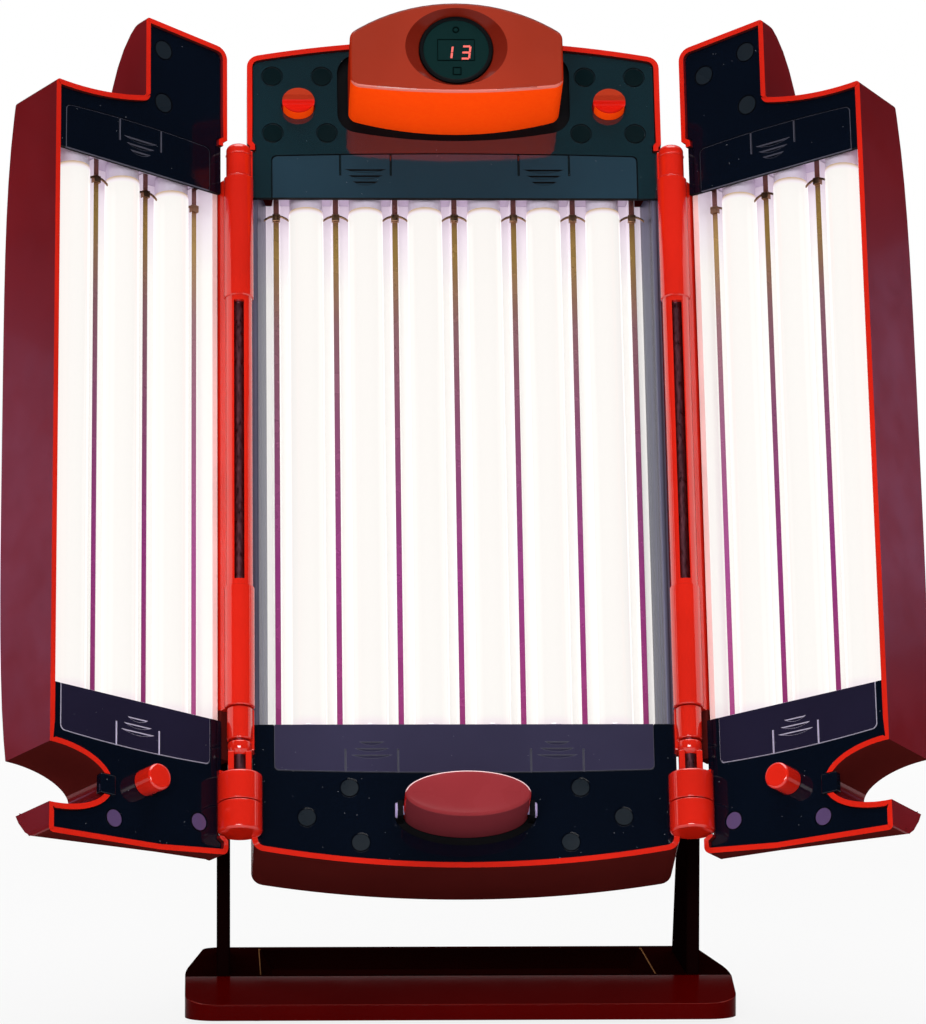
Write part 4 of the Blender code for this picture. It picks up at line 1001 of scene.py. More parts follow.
@dataclass
class LampBay:
    """A row of lamps with its reflector, clips and covers."""

    prefix: str
    body: Body
    place: Matrix
    frame: Matrix
    places: list[float]
    cover_span: Point
    tabs: list[Point]
    front: float = 0.0
    lamp_radius: float = 8 * MM
    cap_radius: float = 7.6 * MM
    glass_end: float = 126.6 * MM
    lamp_end: float = 135 * MM
    sheet: float = 1 * MM
    ridge_height: float = 9 * MM
    ridge_half: float = 1.5 * MM
    ridge_top: float = 0.9 * MM
    flanges: Point = (0.0, 0.0)
    lips: Point = (0.0, 0.0)
    feet: Point = (0.0, 0.0)
    blue_walls: bool = False
    tone: Moulded = BLACK
    top_cover: Moulded = COVER_TEAL
    low_cover: Moulded = COVER_GREY
    top_plugs: Moulded = PLUG_TEAL
    low_plugs: Moulded = PLUG_BLACK
    # Seam finishes: a glowing one is painted lamp light
    top_seam: Finish = WELL_BLACK
    seam: Finish = DIM_SEAM
    outer_ridge: float = 13.75 * MM
    clip_height: float = 124.7 * MM
    clip_drop: float = 3 * MM
    grips: tuple[float, ...] = (8.4 * MM, 7 * MM, 5.1 * MM)
    grip_start: float = 14.5 * MM
    grip_pitch: float = 3.1 * MM
    grip_sag: float = 1.5 * MM
    slit: float = 0.6 * MM
    ledge: float = 1.2 * MM
    tab_depth: float = 9.6 * MM

    @property
    def lamp_back(self) -> float:
        """Depth of the lamps' axes."""
        return self.front + SIZES.lamp_depth

    @property
    def sheet_back(self) -> float:
        """Depth of the reflector's flat back."""
        return self.lamp_back + self.lamp_radius + 2.5 * MM

    @property
    def ridges(self) -> list[float]:
        """Places of the ridges between the lamps, and outside the row where there is room.

        Returns:
            Their places across the bay.
        """
        inner = [(a + b) / 2 for a, b in zip(self.places, self.places[1:])]
        outer = [self.places[0] - self.outer_ridge, self.places[-1] + self.outer_ridge]
        room = self.ridge_half + 0.5 * MM
        return sorted(inner + [x for x in outer if self.feet[0] + room < x < self.feet[1] - room])

    def banded(self, name: str, slot: str, roughness: float, stops: tuple, **more: float) -> Banded:
        """A finish of the bay's own, whose colour changes along the lamps."""
        return Banded(f"{self.prefix}_{name}", slot, (1, 1, 1), roughness, self.frame, stops, **more)

    def wall_sheet(self) -> Metal:
        """The finish of the reflector's bare side walls, streaked along their length."""
        return Metal(f"{self.prefix}_wall_sheet", "aluminium_reflector", (0.11, 0.115, 0.18), 0.3, self.frame,
                     streak=0.75, metallic=0.5, stretch=(500, 500, 2))

    def lamp(self, name: str, across: float) -> Piece:
        """A tube lamp with a metal cap and two pins at each end.

        Args:
            name: The CAD lamp's name.
            across: Its place across the bay.

        Returns:
            The lamp.
        """
        step = 1.2 * MM
        half = [(self.lamp_radius, self.glass_end - step), (self.cap_radius + 0.1 * MM, self.glass_end),
                (self.cap_radius, self.glass_end), (self.cap_radius, self.lamp_end - step / 2),
                (self.cap_radius - step / 2, self.lamp_end), (0, self.lamp_end)]
        profile = [(r, -h) for r, h in reversed(half)] + half
        place = Matrix.Translation((across, self.lamp_back, 0))
        shape = Shape().turned(profile, place)
        tip, pin_radius = self.lamp_end + 6 * MM, 1.2 * MM
        pin = [(0, self.lamp_end), (pin_radius, self.lamp_end), (pin_radius, tip), (0, tip + 0.5 * MM)]
        for way in (-1, 1):
            for aside in (-2.5 * MM, 2.5 * MM):
                spot = place @ Matrix.Translation((aside, 0, 0)) @ Matrix.Diagonal((1, 1, way, 1))
                shape.turned(pin, spot, 12)
        glass = self.banded("lit_tube", "lit_lamp_glass", 0.12, TUBE_STOPS, glow=0.86, body=0.12)
        return shape.piece(f"{name}_tube", glass, self.body, self.place, [name],
                           extras=[(HOLDER, picks(a_z=(self.glass_end, None)))])

    def reflector(self) -> Piece:
        """The folded sheet behind the lamps, glowing with painted lamp light, with a ridge in painted
        reflections between each two lamps.

        Returns:
            The reflector.
        """
        back, rise = self.sheet_back, self.front + SIZES.plate + SIZES.clear + self.sheet / 2
        points = [(self.flanges[0], rise), (self.lips[0], rise), (self.feet[0], back)]
        for ridge in self.ridges:
            crest = back - self.ridge_height
            points += [(ridge - self.ridge_half, back), (ridge - self.ridge_top, crest),
                       (ridge + self.ridge_top, crest), (ridge + self.ridge_half, back)]
        points += [(self.feet[1], back), (self.lips[1], rise), (self.flanges[1], rise)]
        shape = Shape()
        mesh = shape.mesh
        chain = [mesh.verts.new((x, y, -self.lamp_end)) for x, y in points]
        edges = [mesh.edges.new(pair) for pair in zip(chain, chain[1:])]
        drawn = bmesh.ops.extrude_edge_only(mesh, edges=edges)["geom"]
        bmesh.ops.translate(mesh, verts=[v for v in drawn if isinstance(v, bmesh.types.BMVert)],
                            vec=(0, 0, 2 * self.lamp_end))
        bmesh.ops.recalc_face_normals(mesh, faces=mesh.faces)
        shape.through("SOLIDIFY", thickness=self.sheet, offset=0, use_even_offset=True)
        shape.rounded(0.5 * MM, 2, 20, lambda edge: abs(edge.verts[0].co.z - edge.verts[1].co.z) > MM)

        def tinted(face: Face) -> bool:
            """Whether a face belongs to a ridge."""
            across = face.calc_center_median().x
            return any(abs(across - ridge) < self.ridge_half - 0.2 * MM for ridge in self.ridges)

        def walled(face: Face) -> bool:
            """Whether a face belongs to a side wall."""
            return not self.feet[0] < face.calc_center_median().x < self.feet[1]

        # The sheet glows with painted lamp light, the ridges carry painted reflections, and the wings' side
        # walls take painted pink lamp light
        bright = self.banded("sheet_painted_lamp_glow", "aluminium_reflector", 0.2, SHEET_STOPS, glow=0.42, body=0.5)
        tint = self.banded("ridge_painted_reflection", "aluminium_reflector", 0.25, RIDGE_STOPS, metallic=0.3)
        walls = self.wall_sheet() if self.blue_walls else PINK_WALL
        return shape.piece(f"{self.prefix}_reflector_sheet", bright, self.body, self.place,
                           [f"{self.prefix}_reflector"], 25, [(tint, tinted), (walls, walled)])

    def clips(self) -> Piece:
        """Spring clips that hold the lamps near their ends, one across each ridge.

        Returns:
            The clips.
        """
        shape = Shape()
        reach, thick, high = SIZES.lamp_pitch / 2 - self.lamp_radius, 0.9 * MM, 1.7 * MM
        base = self.sheet_back - self.ridge_height
        bends = ((2.2 * MM, 0.2 * MM), (1.1 * MM, 1.3 * MM))
        for x in self.ridges:
            for way in (-1, 1):
                z = way * self.clip_height - (self.clip_drop if way < 0 else 0)
                inner, outer = (arc((x - reach, z - drop), (x, z + rise), (x + reach, z - drop), 10)
                                for drop, rise in bends)
                clip = Shape().plate(inner + outer[::-1], base - 2 * thick, base - thick)
                clip.block((x - 2 * thick, base - 2 * thick, z - high),
                           (x + 2 * thick, base + thick, z + high))
                shape.added(clip.rounded(0.25 * MM, 2))
        return shape.piece(f"{self.prefix}_lamp_clips", CLIP_METAL, self.body, self.place)

    def cover_points(self, end: End, gap: float = 0.0) -> list[Point]:
        """Outline of a lamp cover: straight at the window, a little arched and rounded at its far edge.

        Args:
            end: Which end of the window it covers.
            gap: How far it is widened.

        Returns:
            The outline's points.
        """
        low, high = self.cover_span[0] - gap, self.cover_span[1] + gap
        near, far = SIZES.window - gap, SIZES.window + SIZES.cover_height + gap
        crown = arc((high, far), ((low + high) / 2, far + SIZES.cover_arch), (low, far), 20)
        corners = [(low, near, 0.0), (high, near, 0.0), (*crown[0], 2.5 * MM)]
        corners += [*sharp(crown[1:-1]), (*crown[-1], 2.5 * MM)]
        points = outline(corners)
        return points if end is End.TOP else [(x, -z) for x, z in reversed(points)]

    def cover(self, end: End) -> Piece:
        """A snap-in lamp cover with slit tabs and three grip grooves on each tab.

        Args:
            end: Which end of the window it covers.

        Returns:
            The cover.
        """
        node = f"{self.prefix}_{end.word}_lamp_cover"
        shape = Shape().plate(self.cover_points(end), self.front, self.front + self.ledge - 0.05 * MM)
        far = SIZES.window + SIZES.cover_height
        bottom, top = sorted((end.value * (far - self.tab_depth), end.value * (far + 4 * MM)))
        cutters = []
        for low, high in self.tabs:
            for edge in (low, high):
                cutters.append(Shape().block((edge - self.slit / 2, self.front - MM, bottom),
                                             (edge + self.slit / 2, self.front + 2 * SIZES.plate, top)))
            x = (low + high) / 2
            for i, half in enumerate(self.grips):
                z = end.value * (SIZES.window + self.grip_start - i * self.grip_pitch)
                groove = arc((x - half, z), (x, z - self.grip_sag), (x + half, z), 12)
                cutters.append(Shape().plate(groove, self.front - MM, self.front + 0.8 * MM))
        shape.carved(*cutters).rounded(0.3 * MM, 2)
        # Slit and groove walls are dark at the centre's top and glow with painted lamp light elsewhere
        tone, line = (self.top_cover, self.top_seam) if end is End.TOP else (self.low_cover, self.seam)
        return shape.piece(f"{node}_plate", tone, self.body, self.place, [node], extras=[(line, FACES_ASIDE)])

    def fascia(self, end: End, points: Sequence[Point], discs: Sequence[Point], cutters: Sequence[Shape] = (),
               extra: Optional[Shape] = None) -> list[Piece]:
        """The plate between the window and the rim at one end, with its round plugs.

        Args:
            end: Which end it is.
            points: The whole outline of the shell's inside.
            discs: Places of its plugs.
            cutters: What else is cut out of it.
            extra: What is added to it.

        Returns:
            The plate and its plugs.
        """
        node = f"{self.prefix}_{end.word}_fascia"
        is_top = end is End.TOP
        reach = 3 * SIZES.hinge
        near, far = sorted((end.value * SIZES.window, -end.value * reach))
        window = Shape().block((-reach, self.front - MM, near), (reach, self.front + 3 * SIZES.plate, far))
        cover = Shape().plate(self.cover_points(end, SIZES.clear), self.front - MM, self.front + self.ledge)
        well, sunk = (5 if is_top else 4.5) * MM, 0.6 * MM
        plug = well - 0.5 * MM
        wells = [Shape().plate(ellipse(spot, well, well, 40), self.front - MM, self.front + sunk)
                 for spot in discs]
        shape = Shape().plate(points, self.front, self.front + SIZES.plate)
        shape.carved(window, cover, *cutters, *wells).rounded(0.3 * MM, 2)
        if extra:
            shape.added(extra)
        plugs = Shape()
        for spot in discs:
            disc = Shape().plate(ellipse(spot, plug, plug, 40), self.front + 0.05 * MM,
                                 self.front + sunk + 0.2 * MM)
            plugs.added(disc.rounded(0.15 * MM, 2))
        # The top plate's edges are dark, and the ledge under the bottom cover glows as a seam with painted
        # lamp light
        level = picks(y=(self.front + self.ledge - 0.02 * MM, self.front + self.ledge + 0.02 * MM))
        trim = (WELL_BLACK, FACES_ASIDE) if is_top else (self.seam, level)
        tone, plug_tone = (self.tone, self.top_plugs) if is_top else (NAVY, self.low_plugs)
        return [shape.piece(f"{node}_plate", tone, self.body, self.place, [node], extras=[trim]),
                plugs.piece(f"{node}_plugs", plug_tone, self.body, self.place,
                            extras=[(WELL_BLACK, FACES_ASIDE)])]

    def strip(self, end: End, *sides: float) -> Shape:
        """The strip of a fascia that reaches over the wall beside a hinge.

        Args:
            end: Which end's fascia it is.
            sides: Where the strip's two long edges are, across the bay.

        Returns:
            The strip.
        """
        low, high = sorted((end.value * SIZES.window, end.value * (SIZES.cover_end - SIZES.clear)))
        block = Shape().block((min(sides), self.front, low), (max(sides), self.front + SIZES.plate, high))
        return block.rounded(0.3 * MM, 2)

    def build(self) -> list[Piece]:
        """The lamps, reflector, clips and covers."""
        made = [self.lamp(f"{self.prefix}_lamp_{i}", across) for i, across in enumerate(self.places, 1)]
        return made + [self.reflector(), self.clips()] + [self.cover(end) for end in End]


# Shells and hinges

@dataclass(frozen=True)
class Bow:
    """The swelling back of a shell, from its bottom to its top."""

    bottom: float
    top: float
    depth: float
    root_bottom: float
    root_top: float
    rise: float = 0.0
    reach: float = 1.0
    power: float = 4

    @property
    def middle(self) -> float:
        """Height of its deepest place."""
        return (self.bottom + self.top) / 2

    def at(self, across: float, height: float) -> float:
        """Depth of the back at a place.

        Args:
            across: Distance outwards.
            height: Height along the panel.

        Returns:
            The depth behind the rim's foot.
        """
        if self.rise and height < self.middle:
            lift = self.rise * (1 - across / self.reach) / (self.middle - self.bottom)
            height = (height - lift * self.middle) / (1 - lift)
        share = min(abs(height - self.middle) / ((self.top - self.bottom) / 2), 1.0)
        root = self.root_top if height > self.middle else self.root_bottom
        return self.depth * (1 - share ** self.power) ** (1 / root)

    def stations(self, steps: int = 30) -> list[float]:
        """Heights where the back gets an edge, closer together at the ends."""
        half = (self.top - self.bottom) / 2
        return [self.middle + half * math.sin(math.pi * (i / steps - 0.5)) for i in range(1, steps)]


def bowed_shell(points: Sequence[Point], front: float, bow: Bow, back_round: float = 3 * MM) -> Shape:
    """A shell open to the front with a bowed back and a rounded back edge.

    Args:
        points: Its outline.
        front: Depth of its rim.
        bow: The form of its back.
        back_round: Radius of the back edge.

    Returns:
        The shape.
    """
    shape = Shape().plate(points, front, front + bow.depth)
    mesh = shape.mesh
    for height in bow.stations():
        bmesh.ops.bisect_plane(mesh, geom=mesh.verts[:] + mesh.edges[:] + mesh.faces[:], dist=1e-6,
                               plane_co=(0, 0, height), plane_no=(0, 0, 1))
    half = front + bow.depth / 2
    open_faces = [face for face in mesh.faces if all(v.co.y < half for v in face.verts)]
    bmesh.ops.delete(mesh, geom=open_faces, context="FACES_ONLY")
    across = [edge for edge in mesh.edges if not edge.link_faces]
    bmesh.ops.delete(mesh, geom=across, context="EDGES")
    for vert in mesh.verts:
        if vert.co.y > half:
            vert.co.y = front + SIZES.rim + max(bow.at(vert.co.x, vert.co.z), 2.5 * MM)
    shape.rounded(back_round, 4, 28, lambda edge: min(v.co.y for v in edge.verts) > front + SIZES.rim
                  and min(bow.at(v.co.x, v.co.z) for v in edge.verts) > 2.5 * back_round)
    bmesh.ops.recalc_face_normals(mesh, faces=mesh.faces)
    return shape.through("SOLIDIFY", thickness=SIZES.wall, offset=-1, use_even_offset=False)


def knuckle(radius: float, low: float, high: float, axis: Point, round_top: float,
            round_bottom: float) -> Shape:
    """A round knuckle with softened ends.

    Args:
        radius: Its radius.
        low: Height of its underside.
        high: Height of its top.
        axis: Where it stands, across and back.
        round_top: Radius of its upper edge.
        round_bottom: Radius of its lower edge.

    Returns:
        The shape.
    """
    profile = [(0, low), *shoulder(radius, round_bottom, low, way=-1)]
    profile += [*reversed(shoulder(radius, round_top, high)), (0, high)]
    return Shape().turned(profile, Matrix.Translation((*axis, 0)))


@dataclass
class OnPanel:
    """What is drawn in the panel's frame and mostly rides on the panel."""

    frames: Frames

    def made(self, shape: Shape, name: str, finish: Finish, *nodes: str, **more) -> Piece:
        """A finished piece of the panel that stands for CAD nodes."""
        return shape.piece(name, finish, Body.PANEL, self.frames.face, nodes, **more)


@dataclass
class CentrePanel(OnPanel):
    """The tilting centre panel, apart from its timer and latch."""

    half_row: float = 94.7 * MM
    cover_margin: float = 7.7 * MM
    strip_inner: float = 91.5 * MM
    depth: float = 54 * MM
    button_across: float = 72.2 * MM
    button_squat: float = 0.86
    button_height: float = 175.6 * MM
    button_radius: float = 7.5 * MM
    button_proud: float = 7 * MM
    boss_radius: float = 12 * MM
    bolt_hole: float = 4.3 * MM
    inlet_up: float = -110 * MM
    inlet_half: Point = (12 * MM, 8.5 * MM)
    inlet_flange: float = 4 * MM
    inlet_depth: float = 14 * MM
    ear_radius: float = 5.75 * MM
    neck_waist: float = -138.7 * MM
    neck_bottom: float = -147 * MM
    strap_ends: Point = (-155.5 * MM, -144.5 * MM)
    strap_aside: float = 3.9 * MM
    strap_half: float = 1.4 * MM
    pin_radius: float = 3.5 * MM
    well_gap: float = 3.9 * MM
    top_discs: tuple[Point, ...] = ((84.3 * MM, 190.8 * MM), (61.3 * MM, 190.8 * MM), (84.1 * MM, 161.8 * MM),
                                    (59 * MM, 161.8 * MM))
    bottom_discs: tuple[Point, ...] = ((51.3 * MM, -158.5 * MM), (70.3 * MM, -172.3 * MM),
                                       (46.5 * MM, -184 * MM))

    def bay(self) -> LampBay:
        """The centre's row of six lamps.

        Returns:
            The row.
        """
        edge = self.half_row - SIZES.wall
        cover = edge - self.cover_margin
        places = [(i - 2.5) * SIZES.lamp_pitch for i in range(6)]
        tab = (29.6 * MM, 53 * MM)
        flange, lip, foot = self.half_row - 0.5 * MM, edge - 0.6 * MM, 87.5 * MM
        return LampBay("centre", Body.PANEL, self.frames.face, self.frames.face, places, (-cover, cover),
                       [tab, (-tab[1], -tab[0])], flanges=(-flange, flange), lips=(-lip, lip),
                       feet=(-foot, foot), blue_walls=True)

    def shell(self) -> Piece:
        """The back shell with its rim, pivot bosses and inlet pad.

        Returns:
            The shell.
        """
        bow = Bow(-210.3 * MM, 209 * MM, self.depth, 8, 3)
        shape = bowed_shell(panel_outline(), -SIZES.rim, bow)
        timer = timer_ring(SIZES.timer_side_bottom, SIZES.timer_lowest, SIZES.clear)
        cutters = [Shape().plate(timer, -5 * MM, SIZES.plate + SIZES.clear)]
        low, high = SIZES.knuckle_split - SIZES.knuckle_gap / 2, SIZES.knuckle_top + SIZES.swing_gap
        radius = SIZES.knuckle_radius + SIZES.swing_gap
        wide, tall = (half + SIZES.clear for half in self.inlet_half)
        for side in Side:
            axis = (side.value * SIZES.hinge, -SIZES.hinge_forward)
            cutters.append(knuckle(radius, low, high, axis, 0.1 * MM, 0.1 * MM))
            inner, outer = sorted((side.value * 80 * MM, side.value * SIZES.hinge))
            cutters.append(Shape().block((inner, -5 * MM, -SIZES.cover_end),
                                         (outer, 3.4 * MM, SIZES.cover_end)))
        cutters.append(Shape().block((-wide, 0.6 * self.depth, self.inlet_up - tall),
                                     (wide, 2 * self.depth, self.inlet_up + tall)))
        shape.carved(*cutters, solver="MANIFOLD").rounded(0.6 * MM, 3, 50)
        for side in Side:
            shape.added(self.boss(side))
        shape.added(self.inlet_pad())
        # The walls carry painted shade, darker still on faces looking down; the rim keeps the plain red
        return self.made(shape, "centre_back_shell_moulding", SHADED_SHELL_RED, "centre_back_shell", smooth=35,
                         extras=[(SHADE_RED, FACES_DOWN), (RED, rim_faces(-SIZES.rim))])

    def boss(self, side: Side) -> Shape:
        """The round boss that a pivot bolt screws into.

        Args:
            side: Which side it is on.

        Returns:
            The boss.
        """
        start, length, radius = self.half_row - SIZES.wall / 2, 9 * MM + SIZES.wall / 2, self.boss_radius
        profile = [(self.bolt_hole, 0), (radius + MM, 0), (radius, 2 * MM), (radius, length - MM),
                   (radius - MM, length), (self.bolt_hole, length), (self.bolt_hole, 0)]
        turn = Matrix.Rotation(side.value * math.pi / 2, 4, "Y")
        place = Matrix.Translation((side.value * start, SIZES.pivot_depth, SIZES.pivot_down))
        return Shape().turned(profile, place @ turn)

    @property
    def inlet_outline(self) -> list[Point]:
        """The rounded outline of the inlet's flange and of the pad under it.

        Returns:
            The outline's points.
        """
        wide, tall = (half + self.inlet_flange for half in self.inlet_half)
        corners = ((-1, -1), (1, -1), (1, 1), (-1, 1))
        return outline([(x * wide, self.inlet_up + z * tall, 3 * MM) for x, z in corners])

    def inlet_pad(self) -> Shape:
        """The raised frame round the power inlet.

        Returns:
            The frame.
        """
        wide, tall = (half + SIZES.clear for half in self.inlet_half)
        pad = Shape().plate(self.inlet_outline, self.depth - 3 * SIZES.wall, self.depth + 2 * MM)
        pad.carved(Shape().block((-wide, 0, self.inlet_up - tall), (wide, 1, self.inlet_up + tall)))
        return pad.rounded(0.6 * MM, 2)

    def inlet(self) -> list[Piece]:
        """The power inlet socket with its three blades.

        Returns:
            The socket and its blades.
        """
        face, wall, cut = self.depth + 2 * MM + SIZES.clear, SIZES.wall, 6 * MM
        wide, tall = self.inlet_half
        low, high = self.inlet_up - tall, self.inlet_up + tall
        shape = Shape().plate(self.inlet_outline, face, face + 2.5 * MM)
        box = Shape().block((-wide, face - self.inlet_depth, low), (wide, face + MM, high))
        shape.carved(box, operation="UNION")
        corners = [(wall - wide, low + wall), (wide - wall, low + wall), (wide - wall, high - cut),
                   (wide - cut, high - wall), (cut - wide, high - wall), (wall - wide, high - cut)]
        hollow = outline([(x, z, 0.8 * MM) for x, z in corners])
        shape.carved(Shape().plate(hollow, face - self.inlet_depth + wall, face + 5 * MM))
        shape.rounded(0.4 * MM, 2)
        blades = Shape()
        for across, up in ((-4.5 * MM, -1.5 * MM), (4.5 * MM, -1.5 * MM), (0, 2 * MM)):
            z = self.inlet_up + up
            blade = Shape().block((across - MM, face - 12 * MM, z - 2 * MM),
                                  (across + MM, face - 2 * MM, z + 2 * MM))
            blades.added(blade.rounded(0.4 * MM, 2))
        return [self.made(shape, "power_inlet_socket", WELL_BLACK, "power_inlet"),
                self.made(blades, "power_inlet_blades", STEEL)]

    def hinge_ends(self, side: Side) -> list[Piece]:
        """The panel's ear, neck and lower knuckle on one hinge, and the pin through them.

        Args:
            side: Which side it is on.

        Returns:
            The ear, the neck, the knuckle and the pin.
        """
        axis = (side.value * SIZES.hinge, -SIZES.hinge_forward)
        wall = side.value * (self.half_row - SIZES.wall / 2)
        gap, top = SIZES.knuckle_gap, SIZES.ear_top
        ear = knuckle(self.ear_radius, SIZES.barrel_top + gap, top, axis, 2.6 * MM, 0.3 * MM)
        ear.added(self.web(axis, wall, SIZES.barrel_top + gap, top - 2 * MM))
        ring = self.ear_radius + 0.25 * MM
        ear.added(knuckle(ring, top - 5.2 * MM, top - 4.7 * MM, axis, 0.2 * MM, 0.2 * MM))
        neck = knuckle(self.ear_radius, self.neck_waist, SIZES.barrel_bottom - gap, axis, 0.4 * MM, 0.6 * MM)
        waist = self.neck_waist - 0.7 * MM
        neck.added(knuckle(self.ear_radius - 0.3 * MM, self.neck_bottom, waist, axis, 1.2 * MM, 5.2 * MM))
        neck.added(self.web(axis, wall, self.neck_bottom + 4 * MM, SIZES.barrel_bottom - gap))
        split, bottom = SIZES.knuckle_split - gap, SIZES.knuckle_bottom
        lower = knuckle(SIZES.knuckle_radius, bottom, split, axis, 0.5 * MM, 1.4 * MM)
        lower.added(self.web(axis, wall, bottom + MM, split))
        for way in (-1, 1):
            x = axis[0] + way * self.strap_aside
            strap = Shape().block((x - self.strap_half, axis[1] - 4.2 * MM, self.strap_ends[0]),
                                  (x + self.strap_half, axis[1] - 0.5 * MM, self.strap_ends[1]))
            neck.added(strap.rounded(0.5 * MM, 2))
        pin = knuckle(self.pin_radius, bottom + SIZES.clear, top - 2.8 * MM, axis, 0.4 * MM, 0.4 * MM)
        word = side.word
        return [self.made(ear, f"{word}_hinge_ear", RED), self.made(neck, f"{word}_hinge_neck", RED),
                self.made(lower, f"{word}_lower_knuckle", RED),
                self.made(pin, f"{word}_hinge_pin_bar", DARK_STEEL, f"{word}_hinge_pin")]

    @staticmethod
    def web(axis: Point, wall: float, low: float, high: float) -> Shape:
        """The block that joins a knuckle to the panel's wall."""
        across = sorted((axis[0], wall))
        return Shape().block((across[0], axis[1], low), (across[1], 4.2 * MM, high)).rounded(0.5 * MM, 2)

    def button(self, side: Side) -> Piece:
        """A push button with a scooped face.

        Args:
            side: Which side it is on.

        Returns:
            The button.
        """
        radius, proud, flange = self.button_radius, self.button_proud, self.button_radius + 2 * MM
        high, low, foot = -2.5 * MM, -4.5 * MM, -11.5 * MM
        profile = [(0, proud), *shoulder(radius, 1.2 * MM, proud), (radius, high), (flange, high),
                   (flange, low), (radius, low), (radius, foot), (0, foot)]
        shape = Shape().turned(profile, FORWARDS)
        scoop = ellipse((-proud - 5.2 * MM, -0.6 * MM), 7 * MM, 5.4 * MM, 64)
        shape.carved(Shape().plate(scoop, -2 * radius, 2 * radius, Plane.ACROSS))
        shape.rounded(0.4 * MM, 3, 25, lambda edge: max(v.co.y for v in edge.verts) < -proud / 2)
        place = Matrix.Translation((side.value * self.button_across, 0, self.button_height))
        shape.moved(place @ Matrix.Diagonal((1, 1, self.button_squat, 1)))
        body = Body.LEFT_BUTTON if side is Side.LEFT else Body.RIGHT_BUTTON
        node = f"{side.word}_push_button"
        # Painted shade on the scoop's upper faces and painted lamp light on the underside
        upper = picks(ny=(None, -0.5), z=(self.button_height + 0.8 * MM, None))
        underside = picks(nz=(None, -0.4), ny=(-0.3, 0.3))
        return shape.piece(f"{node}_dome", BUTTON_RED, body, self.frames.face, [node], 30,
                           [(SHADED_SCOOP_RED, upper), (LIT_RED, underside)])

    def build(self) -> list[Piece]:
        """Every piece of the centre panel.

        Returns:
            The pieces.
        """
        bay = self.bay()
        made = [self.shell(), *self.inlet(), *bay.build()]
        inside = panel_outline(SIZES.inset)
        through = (-MM, 2 * SIZES.plate)
        holes = [Shape().plate(timer_ring(SIZES.timer_side_bottom, SIZES.timer_lowest, 5 * MM), *through)]
        for side in Side:
            spot = (side.value * self.button_across, self.button_height)
            halves = (self.button_radius * share + SIZES.clear for share in (1, self.button_squat))
            holes.append(Shape().plate(ellipse(spot, *halves, 48), *through))
        halves = (half + self.well_gap for half in (SIZES.latch_half_width, SIZES.latch_half_height))
        well = Shape().plate(ellipse((0, SIZES.latch_height), *halves), *through)
        strip = (self.strip_inner, self.half_row - SIZES.clear)
        ends = ((End.TOP, self.top_discs, holes), (End.BOTTOM, self.bottom_discs, [well]))
        for end, discs, cutters in ends:
            spots = [(side.value * x, z) for side in Side for x, z in discs]
            strips = Shape()
            for side in Side:
                strips.added(bay.strip(end, *(side.value * x for x in strip)))
            made += bay.fascia(end, inside, spots, cutters, strips)
        for side in Side:
            made += [*self.hinge_ends(side), self.button(side)]
        return made


